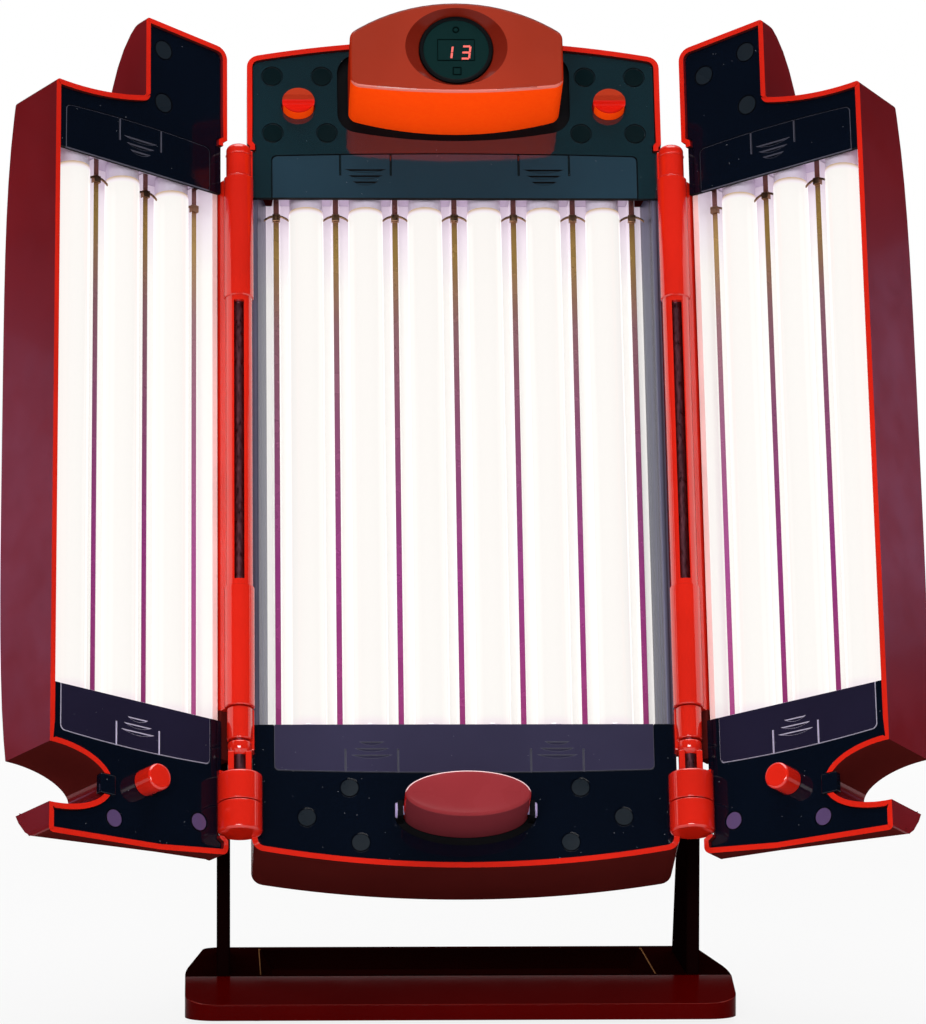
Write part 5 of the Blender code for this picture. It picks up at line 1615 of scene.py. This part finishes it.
@dataclass
class Timer(OnPanel):
    """The timer housing with its display."""

    proud: float = 38 * MM
    soft: float = 1.5 * MM
    face_bottom: Point = (168.1 * MM, 164.9 * MM)
    foot_bottom: Point = (169.3 * MM, 162.1 * MM)
    display_height: float = 188 * MM
    display_radius: float = 17 * MM
    dish_half: Point = (23.5 * MM, 18.75 * MM)
    sunk: float = 4 * MM
    bore: float = 8 * MM
    digit_width: float = 3.6 * MM
    digit_height: float = 6.2 * MM
    stroke: float = 0.95 * MM
    slant: float = 0.12

    def housing(self) -> Piece:
        """The lofted housing with an elliptical dish round its display.

        Returns:
            The housing.
        """
        front = -self.proud
        rings = []
        for i in range(7):
            turn = math.pi / 12 * i
            points = timer_ring(*self.face_bottom, -self.soft * (1 - math.sin(turn)))
            rings.append([Vector((x, front + self.soft * (1 - math.cos(turn)), z)) for x, z in points])
        rings.append([Vector((x, SIZES.plate, z)) for x, z in timer_ring(*self.foot_bottom)])
        shape = Shape().lofted(*rings)
        rim = self.display_radius + SIZES.clear
        dish = []
        for depth, halves in ((front - MM, [half + 1.6 * MM for half in self.dish_half]),
                              (front + self.sunk, (rim, rim))):
            dish.append([Vector((x, depth, z)) for x, z in ellipse((0, self.display_height), *halves)])
        bore = Shape().plate(ellipse((0, self.display_height), rim, rim), front, front + self.bore)
        shape.carved(Shape().lofted(*dish), bore, solver="MANIFOLD")
        bmesh.ops.dissolve_limit(shape.mesh, angle_limit=0.01, verts=shape.mesh.verts, edges=shape.mesh.edges)
        sunken = picks(y=(front + 0.3 * MM, front + self.sunk + 0.3 * MM), a_ny=(0.2, None))

        def dished(face: Face) -> bool:
            """Whether a face belongs to the dish."""
            spot = face.calc_center_median()
            return sunken(face) and math.hypot(spot.x, spot.z - self.display_height) < self.dish_half[0]

        # Painted shade in the dish and on the arched top, painted lamp light on the ends and the underside,
        # and a painted highlight along the bottom edge
        low = SIZES.timer_side_bottom
        crown = picks(nz=(0.3, None), z=(SIZES.timer_side_top - 3 * MM, None))
        ends = picks(a_nx=(0.5, None), a_x=(40 * MM, None))
        underside = picks(nz=(None, -0.25), ny=(-0.5, 0.5), z=(None, low + 8 * MM))
        edge = picks(ny=(-0.93, -0.2), nz=(None, -0.3), y=(None, front + self.soft), z=(None, low + 3 * MM))
        return self.made(shape, "timer_housing_moulding", TIMER_RED, "timer_housing", smooth=10,
                         extras=[(SHADED_DISH_RED, dished), (SHADED_DISH_RED, crown), (LIT_END_RED, ends), (LIT_RED, underside),
                                 (PAINTED_HIGHLIGHT_PINK, edge)])

    def display(self) -> list[Piece]:
        """The round display window, its rim, its marks and its lit digits.

        Returns:
            The window, the marks and the digits.
        """
        place = Matrix.Translation((0, -self.proud + self.sunk - SIZES.clear, self.display_height))
        radius, lip, back = self.display_radius, 1.9 * MM, -4.5 * MM
        profile = [(0, 0), (radius - lip, 0), (radius - lip, 0.5 * MM), (radius - lip / 2, 0.8 * MM),
                   (radius - 0.2 * MM, 0.5 * MM), (radius, 0), (radius, back), (0, back)]
        window = Shape().turned(profile, place @ FORWARDS, 72)
        made = [self.made(window, "timer_display_window", WELL_BLACK, "timer_display",
                          extras=[(DISPLAY_BLACK, lambda face: len(face.verts) == 3)])]
        marks = Shape()
        self.frame_line(marks, (0, 0), 17 * MM, 10.6 * MM, 0.35 * MM)
        self.frame_line(marks, (0.3 * MM, -10.7 * MM), 3.6 * MM, 3.6 * MM, 0.5 * MM)
        ring = [(1.0 * MM, 0), (1.6 * MM, 0), (1.6 * MM, 0.25 * MM), (1.0 * MM, 0.25 * MM), (1.0 * MM, 0)]
        marks.turned(ring, Matrix.Translation((0, 0, 10.3 * MM)) @ FORWARDS, 32)
        made.append(marks.piece("timer_display_marks", MARK_GREEN, Body.PANEL, self.frames.face @ place))
        digits = Shape()
        self.digit(digits, -3.7 * MM, "bc")
        self.digit(digits, 4.5 * MM, "abcdg")
        made.append(digits.piece("timer_display_digits", DIGIT_RED, Body.PANEL, self.frames.face @ place))
        return made

    @staticmethod
    def frame_line(shape: Shape, centre: Point, width: float, height: float, line: float) -> None:
        """Adds a thin rectangular line to a shape.

        Args:
            shape: The shape.
            centre: The rectangle's middle.
            width: Its width.
            height: Its height.
            line: The line's width.
        """
        x, z = centre
        front = -0.2 * MM
        for way in (-1, 1):
            shape.block((x - width / 2, front, z + way * height / 2 - line / 2),
                        (x + width / 2, 0, z + way * height / 2 + line / 2))
            shape.block((x + way * width / 2 - line / 2, front, z - height / 2),
                        (x + way * width / 2 + line / 2, 0, z + height / 2))

    def digit(self, shape: Shape, across: float, segments: str) -> None:
        """Adds a slanted seven-segment digit to a shape.

        Args:
            shape: The shape.
            across: The digit's middle.
            segments: The letters of its lit segments.
        """
        wide, high, half, gap = self.digit_width / 2, self.digit_height / 2, self.stroke / 2, 0.15 * MM
        levels = {"a": high, "g": 0, "d": -high}
        uprights = {"b": gap, "c": gap - high}
        place = Matrix.Translation((across, 0, -1.3 * MM))
        place[0][2] = self.slant
        for letter in segments:
            if letter in levels:
                left, right = gap - wide, wide - gap
                low, top = levels[letter] - half, levels[letter] + half
            else:
                left, right = wide - half, wide + half
                low, top = uprights[letter], uprights[letter] + high - 2 * gap
            bar = Shape().block((left, -0.25 * MM, low), (right, 0.1 * MM, top))
            shape.added(bar.rounded(0.12 * MM, 2).moved(place))

    def build(self) -> list[Piece]:
        """Every piece of the timer."""
        return [self.housing(), *self.display()]


@dataclass
class Latch(OnPanel):
    """The release latch on its cross pin."""

    proud: float = 30 * MM
    hem: float = 1.2 * MM
    edge: float = 1.8 * MM
    face_rim: float = 2.5 * MM
    face_swell: float = 0.5 * MM
    pin_proud: float = 5.5 * MM
    pin_radius: float = 2 * MM
    ear: float = 2.4 * MM
    collar: float = 1 * MM
    collar_radius: float = 3.4 * MM

    def drum(self) -> Piece:
        """The oval drum that is pressed.

        Returns:
            The drum.
        """
        points = ellipse((0, SIZES.latch_height), SIZES.latch_half_width, SIZES.latch_half_height, 96)
        shape = Shape().plate(points, -self.proud, self.hem)
        shape.rounded(self.edge, 5, 40, lambda edge: max(v.co.y for v in edge.verts) < 0)
        face = max((f for f in shape.mesh.faces if f.calc_center_median().y < -self.proud / 2),
                   key=lambda f: f.calc_area())
        bmesh.ops.inset_region(shape.mesh, faces=[face], thickness=self.face_rim)
        bmesh.ops.translate(shape.mesh, verts=face.verts, vec=(0, -self.face_swell, 0))
        bmesh.ops.poke(shape.mesh, faces=[face])
        # Painted shade on the walls, a painted highlight along the top edge and painted lamp light on the
        # ends
        wall = picks(ny=(-0.3, None))
        highlighted_top_edge = picks(nz=(0.2, None), ny=(-0.75, -0.25))
        ends = picks(a_nx=(0.8, None), ny=(-0.3, None), nz=(-0.4, None))
        return shape.piece("release_latch_drum", LATCH_RED, Body.LATCH, self.frames.face, ["release_latch"],
                           extras=[(LATCH_SHADE, wall), (RIM_LIGHT, highlighted_top_edge), (BUTTON_RED, ends)])

    def pin(self) -> Piece:
        """The cross pin with a collar at each end.

        Returns:
            The pin.
        """
        start, radius = SIZES.latch_half_width + SIZES.clear + self.ear, self.collar_radius
        half = [(self.pin_radius, start), (radius, start), (radius, start + 0.6 * self.collar),
                (radius - 0.4 * self.collar, start + self.collar), (0, start + self.collar)]
        profile = [(wide, -along) for wide, along in reversed(half)] + half
        place = Matrix.Translation((0, -self.pin_proud, SIZES.latch_height))
        shape = Shape().turned(profile, place @ Matrix.Rotation(math.pi / 2, 4, "Y"), 32)
        return self.made(shape, "latch_pin_bar", PIN_LILAC, "latch_pin")

    def build(self) -> list[Piece]:
        """The drum and its pin."""
        return [self.drum(), self.pin()]


@dataclass
class Wing:
    """One swinging wing, drawn from its hinge axis outwards."""

    frames: Frames
    side: Side
    depth: float = 39 * MM
    reach: float = 98.6 * MM
    edge_gap: float = 3 * MM
    notch_wall: float = 49 * MM
    top_hinge: float = 202.5 * MM
    top_tip: float = 206.2 * MM
    bottom_hinge: float = -191 * MM
    bottom_middle: Point = (40 * MM, -195.6 * MM)
    bottom_free: float = -198.6 * MM
    latch_gap: float = 3.2 * MM
    timer_gap: float = 2 * MM
    foot_rise: float = 7.2 * MM
    notch_sag: float = 2.2 * MM
    barrel_radius: float = 6.8 * MM
    web_bottom: float = -146 * MM
    slot_top: float = 75 * MM
    slot_bottom: float = -66 * MM
    slot_half: float = 2.25 * MM
    peg: Point = (46.8 * MM, -165.9 * MM)
    peg_radius: float = 6 * MM
    catch_width: float = 8 * MM
    catch_height: float = 9 * MM
    catch_proud: float = 1.8 * MM
    catch_out: float = 4 * MM
    web_back: float = 14.6 * MM
    strip_end: float = 9 * MM
    top_discs: tuple[Point, ...] = ((38.2 * MM, 192.7 * MM), (38.1 * MM, 165.7 * MM))
    right_disc: Point = (15.5 * MM, 187 * MM)
    bottom_discs: tuple[Point, ...] = ((63.3 * MM, -185.3 * MM), (17.8 * MM, -178.1 * MM))

    @property
    def body(self) -> Body:
        """The body that the wing's pieces ride on."""
        return Body.LEFT_WING if self.side is Side.LEFT else Body.RIGHT_WING

    @property
    def place(self) -> Matrix:
        """The wing's frame, mirrored for the left wing."""
        return self.frames.wings[self.side] @ Matrix.Diagonal((self.side.value, 1, 1, 1))

    @property
    def front(self) -> float:
        """Depth of the fascia's front face."""
        return SIZES.hinge_forward

    @property
    def catch_face(self) -> float:
        """Where the latch notch is deepest."""
        return self.reach - SIZES.latch_half_width - self.latch_gap

    def outline(self, inset: float = 0.0) -> list[Point]:
        """Front outline with the timer notch and the latch notch.

        Args:
            inset: How far it is moved inwards.

        Returns:
            The outline's points.
        """
        low, high = SIZES.knuckle_bottom - SIZES.swing_gap, SIZES.ear_top + SIZES.zone_margin
        deep, tall = SIZES.latch_half_width + self.latch_gap, SIZES.latch_half_height + self.latch_gap
        angles = [math.pi * (1.5 - i / 32) for i in range(33)]
        notch = [(self.reach + deep * math.cos(a), SIZES.latch_height + tall * math.sin(a)) for a in angles]
        tip, corner = 2 * MM, 3.5 * MM
        free, inner = SIZES.timer_lowest - self.timer_gap, SIZES.timer_side_bottom - self.timer_gap
        middle = ((self.reach + self.notch_wall) / 2, (free + inner) / 2 - self.notch_sag)
        sagged = arc((self.reach, free), middle, (self.notch_wall, inner), 10)[1:-1]
        corners = [
            (self.edge_gap, self.bottom_hinge, corner), (*self.bottom_middle, 0.0),
            (self.reach, self.bottom_free, tip), *sharp(notch),
            (self.reach, free, tip), *sharp(sagged), (self.notch_wall, inner, tip),
            (self.notch_wall, self.top_tip, tip), (self.edge_gap, self.top_hinge, 1.7 * corner),
            *sharp([(self.edge_gap, high + SIZES.edge_step), (SIZES.setback, high), (SIZES.setback, low),
                    (self.edge_gap, low - SIZES.edge_step)]),
        ]
        return outline(corners, inset)

    def bay(self) -> LampBay:
        """The wing's row of three lamps.

        Returns:
            The row.
        """
        edges = (SIZES.setback + SIZES.wall, self.reach - SIZES.wall)
        margin = SIZES.clear + 3.85 * MM
        middle = sum(edges) / 2
        word = f"{self.side.word}_wing"
        places = [middle + i * SIZES.lamp_pitch for i in (-1, 0, 1)]
        lips = (edges[0] + 0.5 * MM, edges[1] - 2 * MM)
        return LampBay(word, self.body, self.place, self.frames.wings[self.side], places,
                       (edges[0] + margin, edges[1] - margin), [(39.5 * MM, 62.5 * MM)], self.front,
                       flanges=(SIZES.setback + 0.5 * MM, edges[1] - 0.4 * MM), lips=lips,
                       feet=(lips[0] + 0.3 * MM, lips[1] - MM), tone=NAVY, top_cover=NAVY,
                       low_cover=COVER_LILAC, top_plugs=PLUG_BLACK, low_plugs=PLUG_LILAC,
                       top_seam=DIM_SEAM, seam=PALE)

    def shell(self) -> Piece:
        """The back shell with its rim and its notches, cut clear of the panel's lower knuckle.

        Returns:
            The shell.
        """
        front = self.front - SIZES.rim
        bow = Bow(self.bottom_free, self.top_tip, self.depth, 3, 2, self.foot_rise, self.reach)
        shape = bowed_shell(self.outline(), front, bow)
        radius, high = SIZES.knuckle_radius + SIZES.swing_gap, SIZES.cover_end
        gap = self.catch_height / 2 + SIZES.clear
        swept = knuckle(radius, SIZES.knuckle_bottom - SIZES.swing_gap,
                        SIZES.knuckle_split - SIZES.knuckle_gap / 2, (0, 0), 0.1 * MM, 0.1 * MM)
        catch = Shape().block((self.catch_face - SIZES.inset - MM, front - MM, SIZES.latch_height - gap),
                              (self.catch_face + self.catch_width, self.front + SIZES.plate,
                               SIZES.latch_height + gap))
        beside = Shape().block((0, front - 5 * MM, -high), (20 * MM, self.front + 3.4 * MM, high))
        shape.carved(swept, catch, beside, solver="MANIFOLD").rounded(0.6 * MM, 3, 50)
        node = f"{self.side.word}_wing_back_shell"
        # The walls carry painted shade, darker still on faces looking down; the rim keeps the plain red
        return shape.piece(f"{node}_moulding", SHADED_SHELL_RED, self.body, self.place, [node], 35,
                           [(SHADE_RED, FACES_DOWN), (RED, rim_faces(front))])

    def upper_knuckle(self) -> Piece:
        """The wing's large knuckle with its web.

        Returns:
            The knuckle.
        """
        high = SIZES.knuckle_top
        shape = knuckle(SIZES.knuckle_radius, SIZES.knuckle_split, high, (0, 0), 1.2 * MM, 0.4 * MM)
        web = Shape().block((0, 0, SIZES.knuckle_split),
                            (SIZES.setback + SIZES.wall / 2, 10.3 * MM, high - MM))
        shape.added(web.rounded(0.5 * MM, 2))
        return shape.piece(f"{self.side.word}_upper_knuckle", RED, self.body, self.place)

    def barrel(self) -> Piece:
        """The long hinge barrel: two sleeves with a slotted, slimmer length between them.

        Returns:
            The barrel.
        """
        wide, slim, bore, edge = self.barrel_radius, self.barrel_radius - 0.7 * MM, 3.8 * MM, 0.4 * MM
        low, high = SIZES.barrel_bottom, SIZES.barrel_top
        profile = [(bore, low), (wide - edge, low), (wide, low + edge), (wide, self.slot_bottom - edge),
                   (slim, self.slot_bottom), (slim, self.slot_top), (wide, self.slot_top + edge),
                   (wide, high - edge), (wide - edge, high), (bore, high), (bore, low)]
        shape = Shape().turned(profile, Matrix.Identity(4))
        slot = Shape().block((-self.slot_half, -2 * wide, self.slot_bottom + 2.5 * MM),
                             (self.slot_half, 0, self.slot_top - 2.5 * MM))
        slot.moved(Matrix.Rotation(SIZES.swing, 4, "Z"))
        side = SIZES.setback - SIZES.clear
        web = Shape().block((0, 3 * MM, low), (side, self.web_back, high))
        foot = Shape().block((0, wide + 0.7 * MM, self.web_bottom), (side, self.web_back, low + MM))
        shape.carved(slot).added(web.rounded(0.4 * MM, 2)).added(foot.rounded(0.4 * MM, 2))
        node = f"{self.side.word}_hinge_barrel"
        return shape.piece(f"{node}_sleeve", RED, self.body, self.place, [node],
                           extras=[(SHADE_RED, picks(z=(None, low - MM)))])

    def stop_peg(self) -> Piece:
        """The round peg that keeps the shut wings apart from the panel.

        Returns:
            The peg.
        """
        tip, foot, radius, stem = 0.7 * MM - self.front, self.front - SIZES.clear, self.peg_radius, 3 * MM
        profile = [(0, foot - tip), *shoulder(radius, 1.3 * MM, foot - tip, 6), (radius, 0), (stem, 0),
                   (stem, -8 * MM), (0, -8 * MM)]
        place = Matrix.Translation((self.peg[0], foot, self.peg[1])) @ FORWARDS
        node = f"{self.side.word}_stop_peg"
        return Shape().turned(profile, place).piece(f"{node}_turning", RED, self.body, self.place, [node])

    def build(self) -> list[Piece]:
        """Every piece of the wing.

        Returns:
            The pieces.
        """
        bay = self.bay()
        inside = self.outline(SIZES.inset)
        tip, half = self.catch_face + self.catch_out, self.catch_height / 2
        front, back = self.front - self.catch_proud, self.front + SIZES.plate - SIZES.clear
        catch = Shape().block((tip - self.catch_width, front, SIZES.latch_height - half),
                              (tip, back, SIZES.latch_height + half)).rounded(0.6 * MM, 3)
        hole = Shape().plate(ellipse(self.peg, 3.3 * MM, 3.3 * MM, 32), self.front - MM, 3 * self.front)
        made = [self.shell(), self.upper_knuckle(), self.barrel(), self.stop_peg(), *bay.build()]
        upper, lower = (bay.strip(end, SIZES.setback + SIZES.clear, self.strip_end) for end in End)
        top = [*self.top_discs, self.right_disc] if self.side is Side.RIGHT else self.top_discs
        made += bay.fascia(End.TOP, inside, top, (), upper)
        made += bay.fascia(End.BOTTOM, inside, self.bottom_discs, [hole], catch.added(lower))
        return made


@dataclass
class Stand:
    """The base tray, its feet and the two arms with their pivot bolts."""

    frames: Frames
    foot_height: float = 2.5 * MM
    top: float = 18 * MM
    half_depth: float = 71 * MM
    front_half: float = 124.5 * MM
    back_half: float = 116 * MM
    lip: float = 9.7 * MM
    bar_depth: float = 35 * MM
    front_corner: float = 14 * MM
    back_corner: float = 9 * MM
    side_round: float = 300 * MM
    side_bend: float = -13 * MM
    tray_half: float = 90 * MM
    tray_gaps: Point = (6 * MM, 7 * MM)
    tray_floor: float = 8.5 * MM
    tray_slope: float = 6 * MM
    arm_inner: float = 104 * MM
    arm_thick: float = 6 * MM
    arm_radius: float = 14 * MM
    foot_depth: float = 85 * MM
    knee: Point = (63 * MM, 50 * MM)
    flare_top: float = 134 * MM
    feet: Point = (92 * MM, 47 * MM)

    def tray(self) -> Piece:
        """The base with its sloped front bar and shallow tray.

        Returns:
            The base.
        """
        front, back = -self.half_depth, self.half_depth
        half = [(self.front_half, front, self.front_corner),
                (self.front_half, self.side_bend, self.side_round),
                (self.back_half, back, self.back_corner)]
        plan = outline(half + [(-x, y, radius) for x, y, radius in reversed(half)], steps=10)
        ridge = front + self.bar_depth
        over = 5 * MM
        slope = [(front - over, -over), (back + over, -over), (back + over, self.top + over),
                 (ridge, self.top + over), (ridge, self.top),
                 (front, self.lip), (front - over, self.lip - over * (self.top - self.lip) / self.bar_depth)]
        wide = 2 * self.front_half
        inner = self.tray_half - self.tray_slope
        hollow = [(-inner, self.tray_floor), (inner, self.tray_floor), (self.tray_half, self.top),
                  (self.tray_half, self.top + over), (-self.tray_half, self.top + over),
                  (-self.tray_half, self.top)]
        shape = Shape().plate(plan, self.foot_height, self.top, Plane.UP)
        shape.carved(Shape().plate(slope, -wide, wide, Plane.ACROSS), operation="INTERSECT")
        shape.carved(Shape().plate(hollow, ridge + self.tray_gaps[0], back - self.tray_gaps[1]))
        shape.rounded(1.6 * MM, 4, 20, lambda edge: max(v.co.z for v in edge.verts) > self.foot_height + MM)

        # Painted shade over the tray behind the ridge, and painted highlights along the tray's side rims and
        # the bar's top edge
        side = (self.tray_half - 2 * MM, self.tray_half + 2 * MM)
        rim = picks(a_x=side, a_nx=(0.25, 0.75), y=(ridge, None), z=(self.top - 2 * MM, None))
        bar = picks(ny=(-0.8, -0.5), nz=(0.2, None), y=(None, ridge))
        return shape.piece("base_tray_moulding", DARK_RED, Body.STAND, self.frames.stand, ["base_tray"], 50,
                           [(TRAY_RED, picks(y=(ridge, None))), (TRAY_RIM_HIGHLIGHT, rim), (BAR_EDGE_HIGHLIGHT, bar)])

    def foot(self, side: Side, way: int) -> Piece:
        """One round rubber foot with a dished tread.

        Args:
            side: Which side it is on.
            way: -1 in front and 1 behind.

        Returns:
            The foot.
        """
        node = f"{'front' if way < 0 else 'back'}_{side.word}_foot"
        high, wide, tread, edge = self.foot_height - SIZES.clear, 7 * MM, 5 * MM, 0.8 * MM
        profile = [(0, 0.4 * MM), (tread - MM, 0.3 * MM), (tread, 0), (wide - edge, 0), (wide, edge),
                   (wide, high), (0, high)]
        place = Matrix.Translation((side.value * self.feet[0], way * self.feet[1], 0))
        shape = Shape().turned(profile, place)
        return shape.piece(f"{node}_pad", RUBBER, Body.STAND, self.frames.stand, [node])

    def arm(self, side: Side) -> Piece:
        """A flat upright arm, straight in front and flared to the back at its foot.

        Args:
            side: Which side it is on.

        Returns:
            The arm.
        """
        front = SIZES.pivot_back - self.arm_radius
        narrow, crown = front + 2 * self.arm_radius, SIZES.pivot_height + self.arm_radius
        flare, base = 22 * MM, self.top - 6 * MM
        almost = self.arm_radius - 0.3 * MM
        corners = [(front, base, 0.0), (front + self.foot_depth, base, 0.0),
                   (front + self.foot_depth, self.top + 0.3 * MM, 0.0),
                   (front + self.knee[0], self.top + self.knee[1], 2 * flare),
                   (narrow, self.top + self.flare_top, flare), (narrow, crown, almost),
                   (front, crown, almost)]
        ends = sorted(side.value * x for x in (self.arm_inner, self.arm_inner + self.arm_thick))
        shape = Shape().plate(outline(corners, steps=12), *ends, Plane.ACROSS).rounded(1.5 * MM, 4)
        return shape.piece(f"{side.word}_arm_upright", ARM_RED, Body.STAND, self.frames.stand,
                           [f"{side.word}_arm"], 50)

    def bolt(self, side: Side) -> Piece:
        """A pivot bolt with a domed head and a round socket.

        Args:
            side: Which side it is on.

        Returns:
            The bolt.
        """
        seat = self.arm_inner + self.arm_thick + SIZES.clear
        head, shank, socket, high, tip, edge = 7 * MM, 4 * MM, 2.4 * MM, 3 * MM, 94.8 * MM, 0.4 * MM
        dome = arc((head, seat + 1.2 * MM), (4.5 * MM, seat + 2.7 * MM), (socket, seat + high), 8)
        profile = [(0, tip), (shank - edge, tip), (shank, tip + edge), (shank, seat), (head, seat),
                   *dome, (socket, seat + MM), (0, seat + 0.8 * MM)]
        place = Matrix.Translation((0, SIZES.pivot_back, SIZES.pivot_height))
        turn = Matrix.Rotation(side.value * math.pi / 2, 4, "Y")
        node = f"{side.word}_pivot_bolt"
        shape = Shape().turned(profile, place @ turn)
        return shape.piece(f"{node}_turning", STEEL, Body.STAND, self.frames.stand, [node])

    def build(self) -> list[Piece]:
        """Every piece of the stand.

        Returns:
            The pieces.
        """
        made = [self.tray()]
        for side in Side:
            made += [self.arm(side), self.bolt(side), *[self.foot(side, way) for way in (-1, 1)]]
        return made


@dataclass
class Studio:
    """The camera, the lights, the floor and the pale surroundings."""

    frames: Frames
    image: tuple[int, int] = (926, 1024)
    focal_px: float = 5886.5
    sensor: float = 24.0
    below: float = math.radians(21.55)
    aside: float = math.radians(2.49)
    offset: Corner = (-0.00156, 0.02512, -2.67141)
    horizon: float = 0.07
    zenith: float = 0.6
    overhead: Point = (0.85, 0.97)
    behind: Point = (0.9, 0.97)
    reflected: float = 0.12
    floor_grey: float = 0.7
    floor_reach: float = 2.5
    floor_fade: tuple[float, float, float, float] = (0.7, 2.0, 0.86, 1.0)

    def camera(self) -> None:
        """The camera at the photograph's viewing angle."""
        b, g = self.below, self.aside
        across = (math.cos(g), 0, -math.sin(g))
        back = (-math.cos(b) * math.sin(g), -math.sin(b), -math.cos(b) * math.cos(g))
        up = (-math.sin(b) * math.sin(g), math.cos(b), -math.sin(b) * math.cos(g))
        seen = Matrix((across, back, up)).transposed().to_4x4()
        seen.translation = self.offset
        data = bpy.data.cameras.new("camera")
        data.sensor_width = self.sensor
        data.lens = self.focal_px / self.image[1] * self.sensor
        camera = bpy.data.objects.new("camera", data)
        camera.matrix_world = self.frames.face @ seen.inverted()
        bpy.context.scene.collection.objects.link(camera)
        bpy.context.scene.camera = camera

    @staticmethod
    def light(name: str, place: Corner, target: Corner, size: Point, power: float, tint: Colour) -> None:
        """A soft rectangular light.

        Args:
            name: Its name.
            place: Where it stands.
            target: What it points at.
            size: Its width and height.
            power: Its power in watts.
            tint: Its colour.
        """
        data = bpy.data.lights.new(name, "AREA")
        data.shape = "RECTANGLE"
        data.size, data.size_y = size
        data.energy = power
        data.color = tint
        lamp = bpy.data.objects.new(name, data)
        lamp.location = place
        lamp.rotation_euler = (Vector(target) - Vector(place)).to_track_quat("-Z", "Y").to_euler()
        bpy.context.scene.collection.objects.link(lamp)

    def surroundings(self) -> None:
        """A world that is white to the camera and partly to reflections, and a soft dome to other light."""
        world = bpy.data.worlds.new("pale_room")
        bpy.context.scene.world = world
        world.use_nodes = True
        wiring = Wiring(world.node_tree)
        white = wiring.tree.nodes["Background"]
        white.inputs["Color"].default_value = (1, 1, 1, 1)
        white.inputs["Strength"].default_value = 1.0
        parts = wiring.node("ShaderNodeSeparateXYZ")
        wiring.feed(parts.inputs[0], wiring.node("ShaderNodeTexCoord").outputs["Generated"])
        back, up = parts.outputs["Y"], parts.outputs["Z"]
        glossy = wiring.node("ShaderNodeLightPath").outputs["Is Glossy Ray"]
        strength = wiring.mapped(up, 0.0, 0.8, self.horizon, self.zenith)
        dimmed = wiring.mapped(glossy, 0.0, 1.0, 1.0, self.reflected)
        level = wiring.worked("MULTIPLY", strength, dimmed)
        dome = wiring.made("ShaderNodeBackground", "Background", Strength=level)
        mirrored = wiring.worked("MAXIMUM", wiring.mapped(up, *self.overhead),
                                 wiring.mapped(back, *self.behind))
        wiring.show(self.seen(wiring, mirrored), dome, white.outputs[0], "World Output")

    @staticmethod
    def seen(wiring: Wiring, mirrored: "Socket | float") -> Socket:
        """1 for camera and transmission rays, and a share of that for glossy rays.

        Args:
            wiring: The node tree.
            mirrored: The share that glossy rays get.

        Returns:
            The socket.
        """
        path = wiring.node("ShaderNodeLightPath").outputs
        share = wiring.worked("MULTIPLY", path["Is Glossy Ray"], mirrored)
        clear = wiring.worked("MAXIMUM", path["Is Camera Ray"], path["Is Transmission Ray"])
        return wiring.worked("MAXIMUM", clear, share)

    def floor(self) -> None:
        """A wide white floor that keeps the object's shadow."""
        mesh = bpy.data.meshes.new("floor")
        shape = bmesh.new()
        bmesh.ops.create_grid(shape, x_segments=2, y_segments=2, size=self.floor_reach)
        shape.to_mesh(mesh)
        shape.free()
        floor = bpy.data.objects.new("floor", mesh)
        bpy.context.scene.collection.objects.link(floor)
        paint = Paint("white_floor")
        paint.set(Base_Color=(self.floor_grey, self.floor_grey, self.floor_grey, 1), Roughness=0.9)
        white = paint.node("ShaderNodeEmission").outputs[0]
        distance = paint.node("ShaderNodeVectorMath", operation="LENGTH")
        paint.feed(distance.inputs[0], paint.place())
        fade = paint.mapped(distance.outputs["Value"], *self.floor_fade)
        share = paint.worked("MULTIPLY", self.seen(paint, self.reflected), fade)
        paint.show(share, paint.shader.outputs[0], white, "Material Output")
        mesh.materials.append(paint.material)

    def build(self) -> None:
        """Sets the whole studio up."""
        self.camera()
        self.surroundings()
        self.floor()
        white, lilac, middle = (1.0, 0.99, 0.98), (0.75, 0.55, 1.0), (0, 0, 0.25)
        self.light("front_softbox", (-0.4, -2.7, 0.9), middle, (1.4, 0.8), 44, white)
        self.light("left_softbox", (-2.0, 0.92, 0.63), middle, (0.5, 0.3), 0.45, lilac)
        self.light("right_softbox", (2.0, 0.92, 0.63), middle, (0.5, 0.3), 0.4, lilac)
        self.light("top_softbox", (0, 0.2, 2.8), (0, 0, 0), (2.4, 2.4), 60, white)
        bpy.context.scene.view_settings.view_transform = "Standard"


def dress_inner_pieces(nodes: dict[str, Piece]) -> None:
    """Gives the solids that stay as they are their finishes.

    Args:
        nodes: The CAD nodes by name.
    """
    finishes = {"base_weight_plate": STEEL, "lamp_ballast": STEEL, "timer_board": BOARD_GREEN,
                "timer_seat": WELL_BLACK, "latch_seat": WELL_BLACK}
    finishes.update({name: HOLDER for name in nodes if name.endswith("lamp_chassis")})
    for name, finish in finishes.items():
        nodes[name].data.materials.clear()
        nodes[name].data.materials.append(finish.material())


def main() -> None:
    """Builds every sub-assembly in order and sets up the studio."""
    logging.basicConfig(level=logging.INFO)
    frames = Frames.from_joints(frame["joints"])
    assemblies = [Stand(frames), CentrePanel(frames), Timer(frames), Latch(frames)]
    assemblies += [Wing(frames, side) for side in Side]
    for assembly in assemblies:
        for piece in assembly.build():
            LOG.info("%s: %d faces", piece.name, len(piece.data.polygons))
    dress_inner_pieces(frame["nodes"])
    Studio(frames).build()


if __name__ == "__main__":
    main()
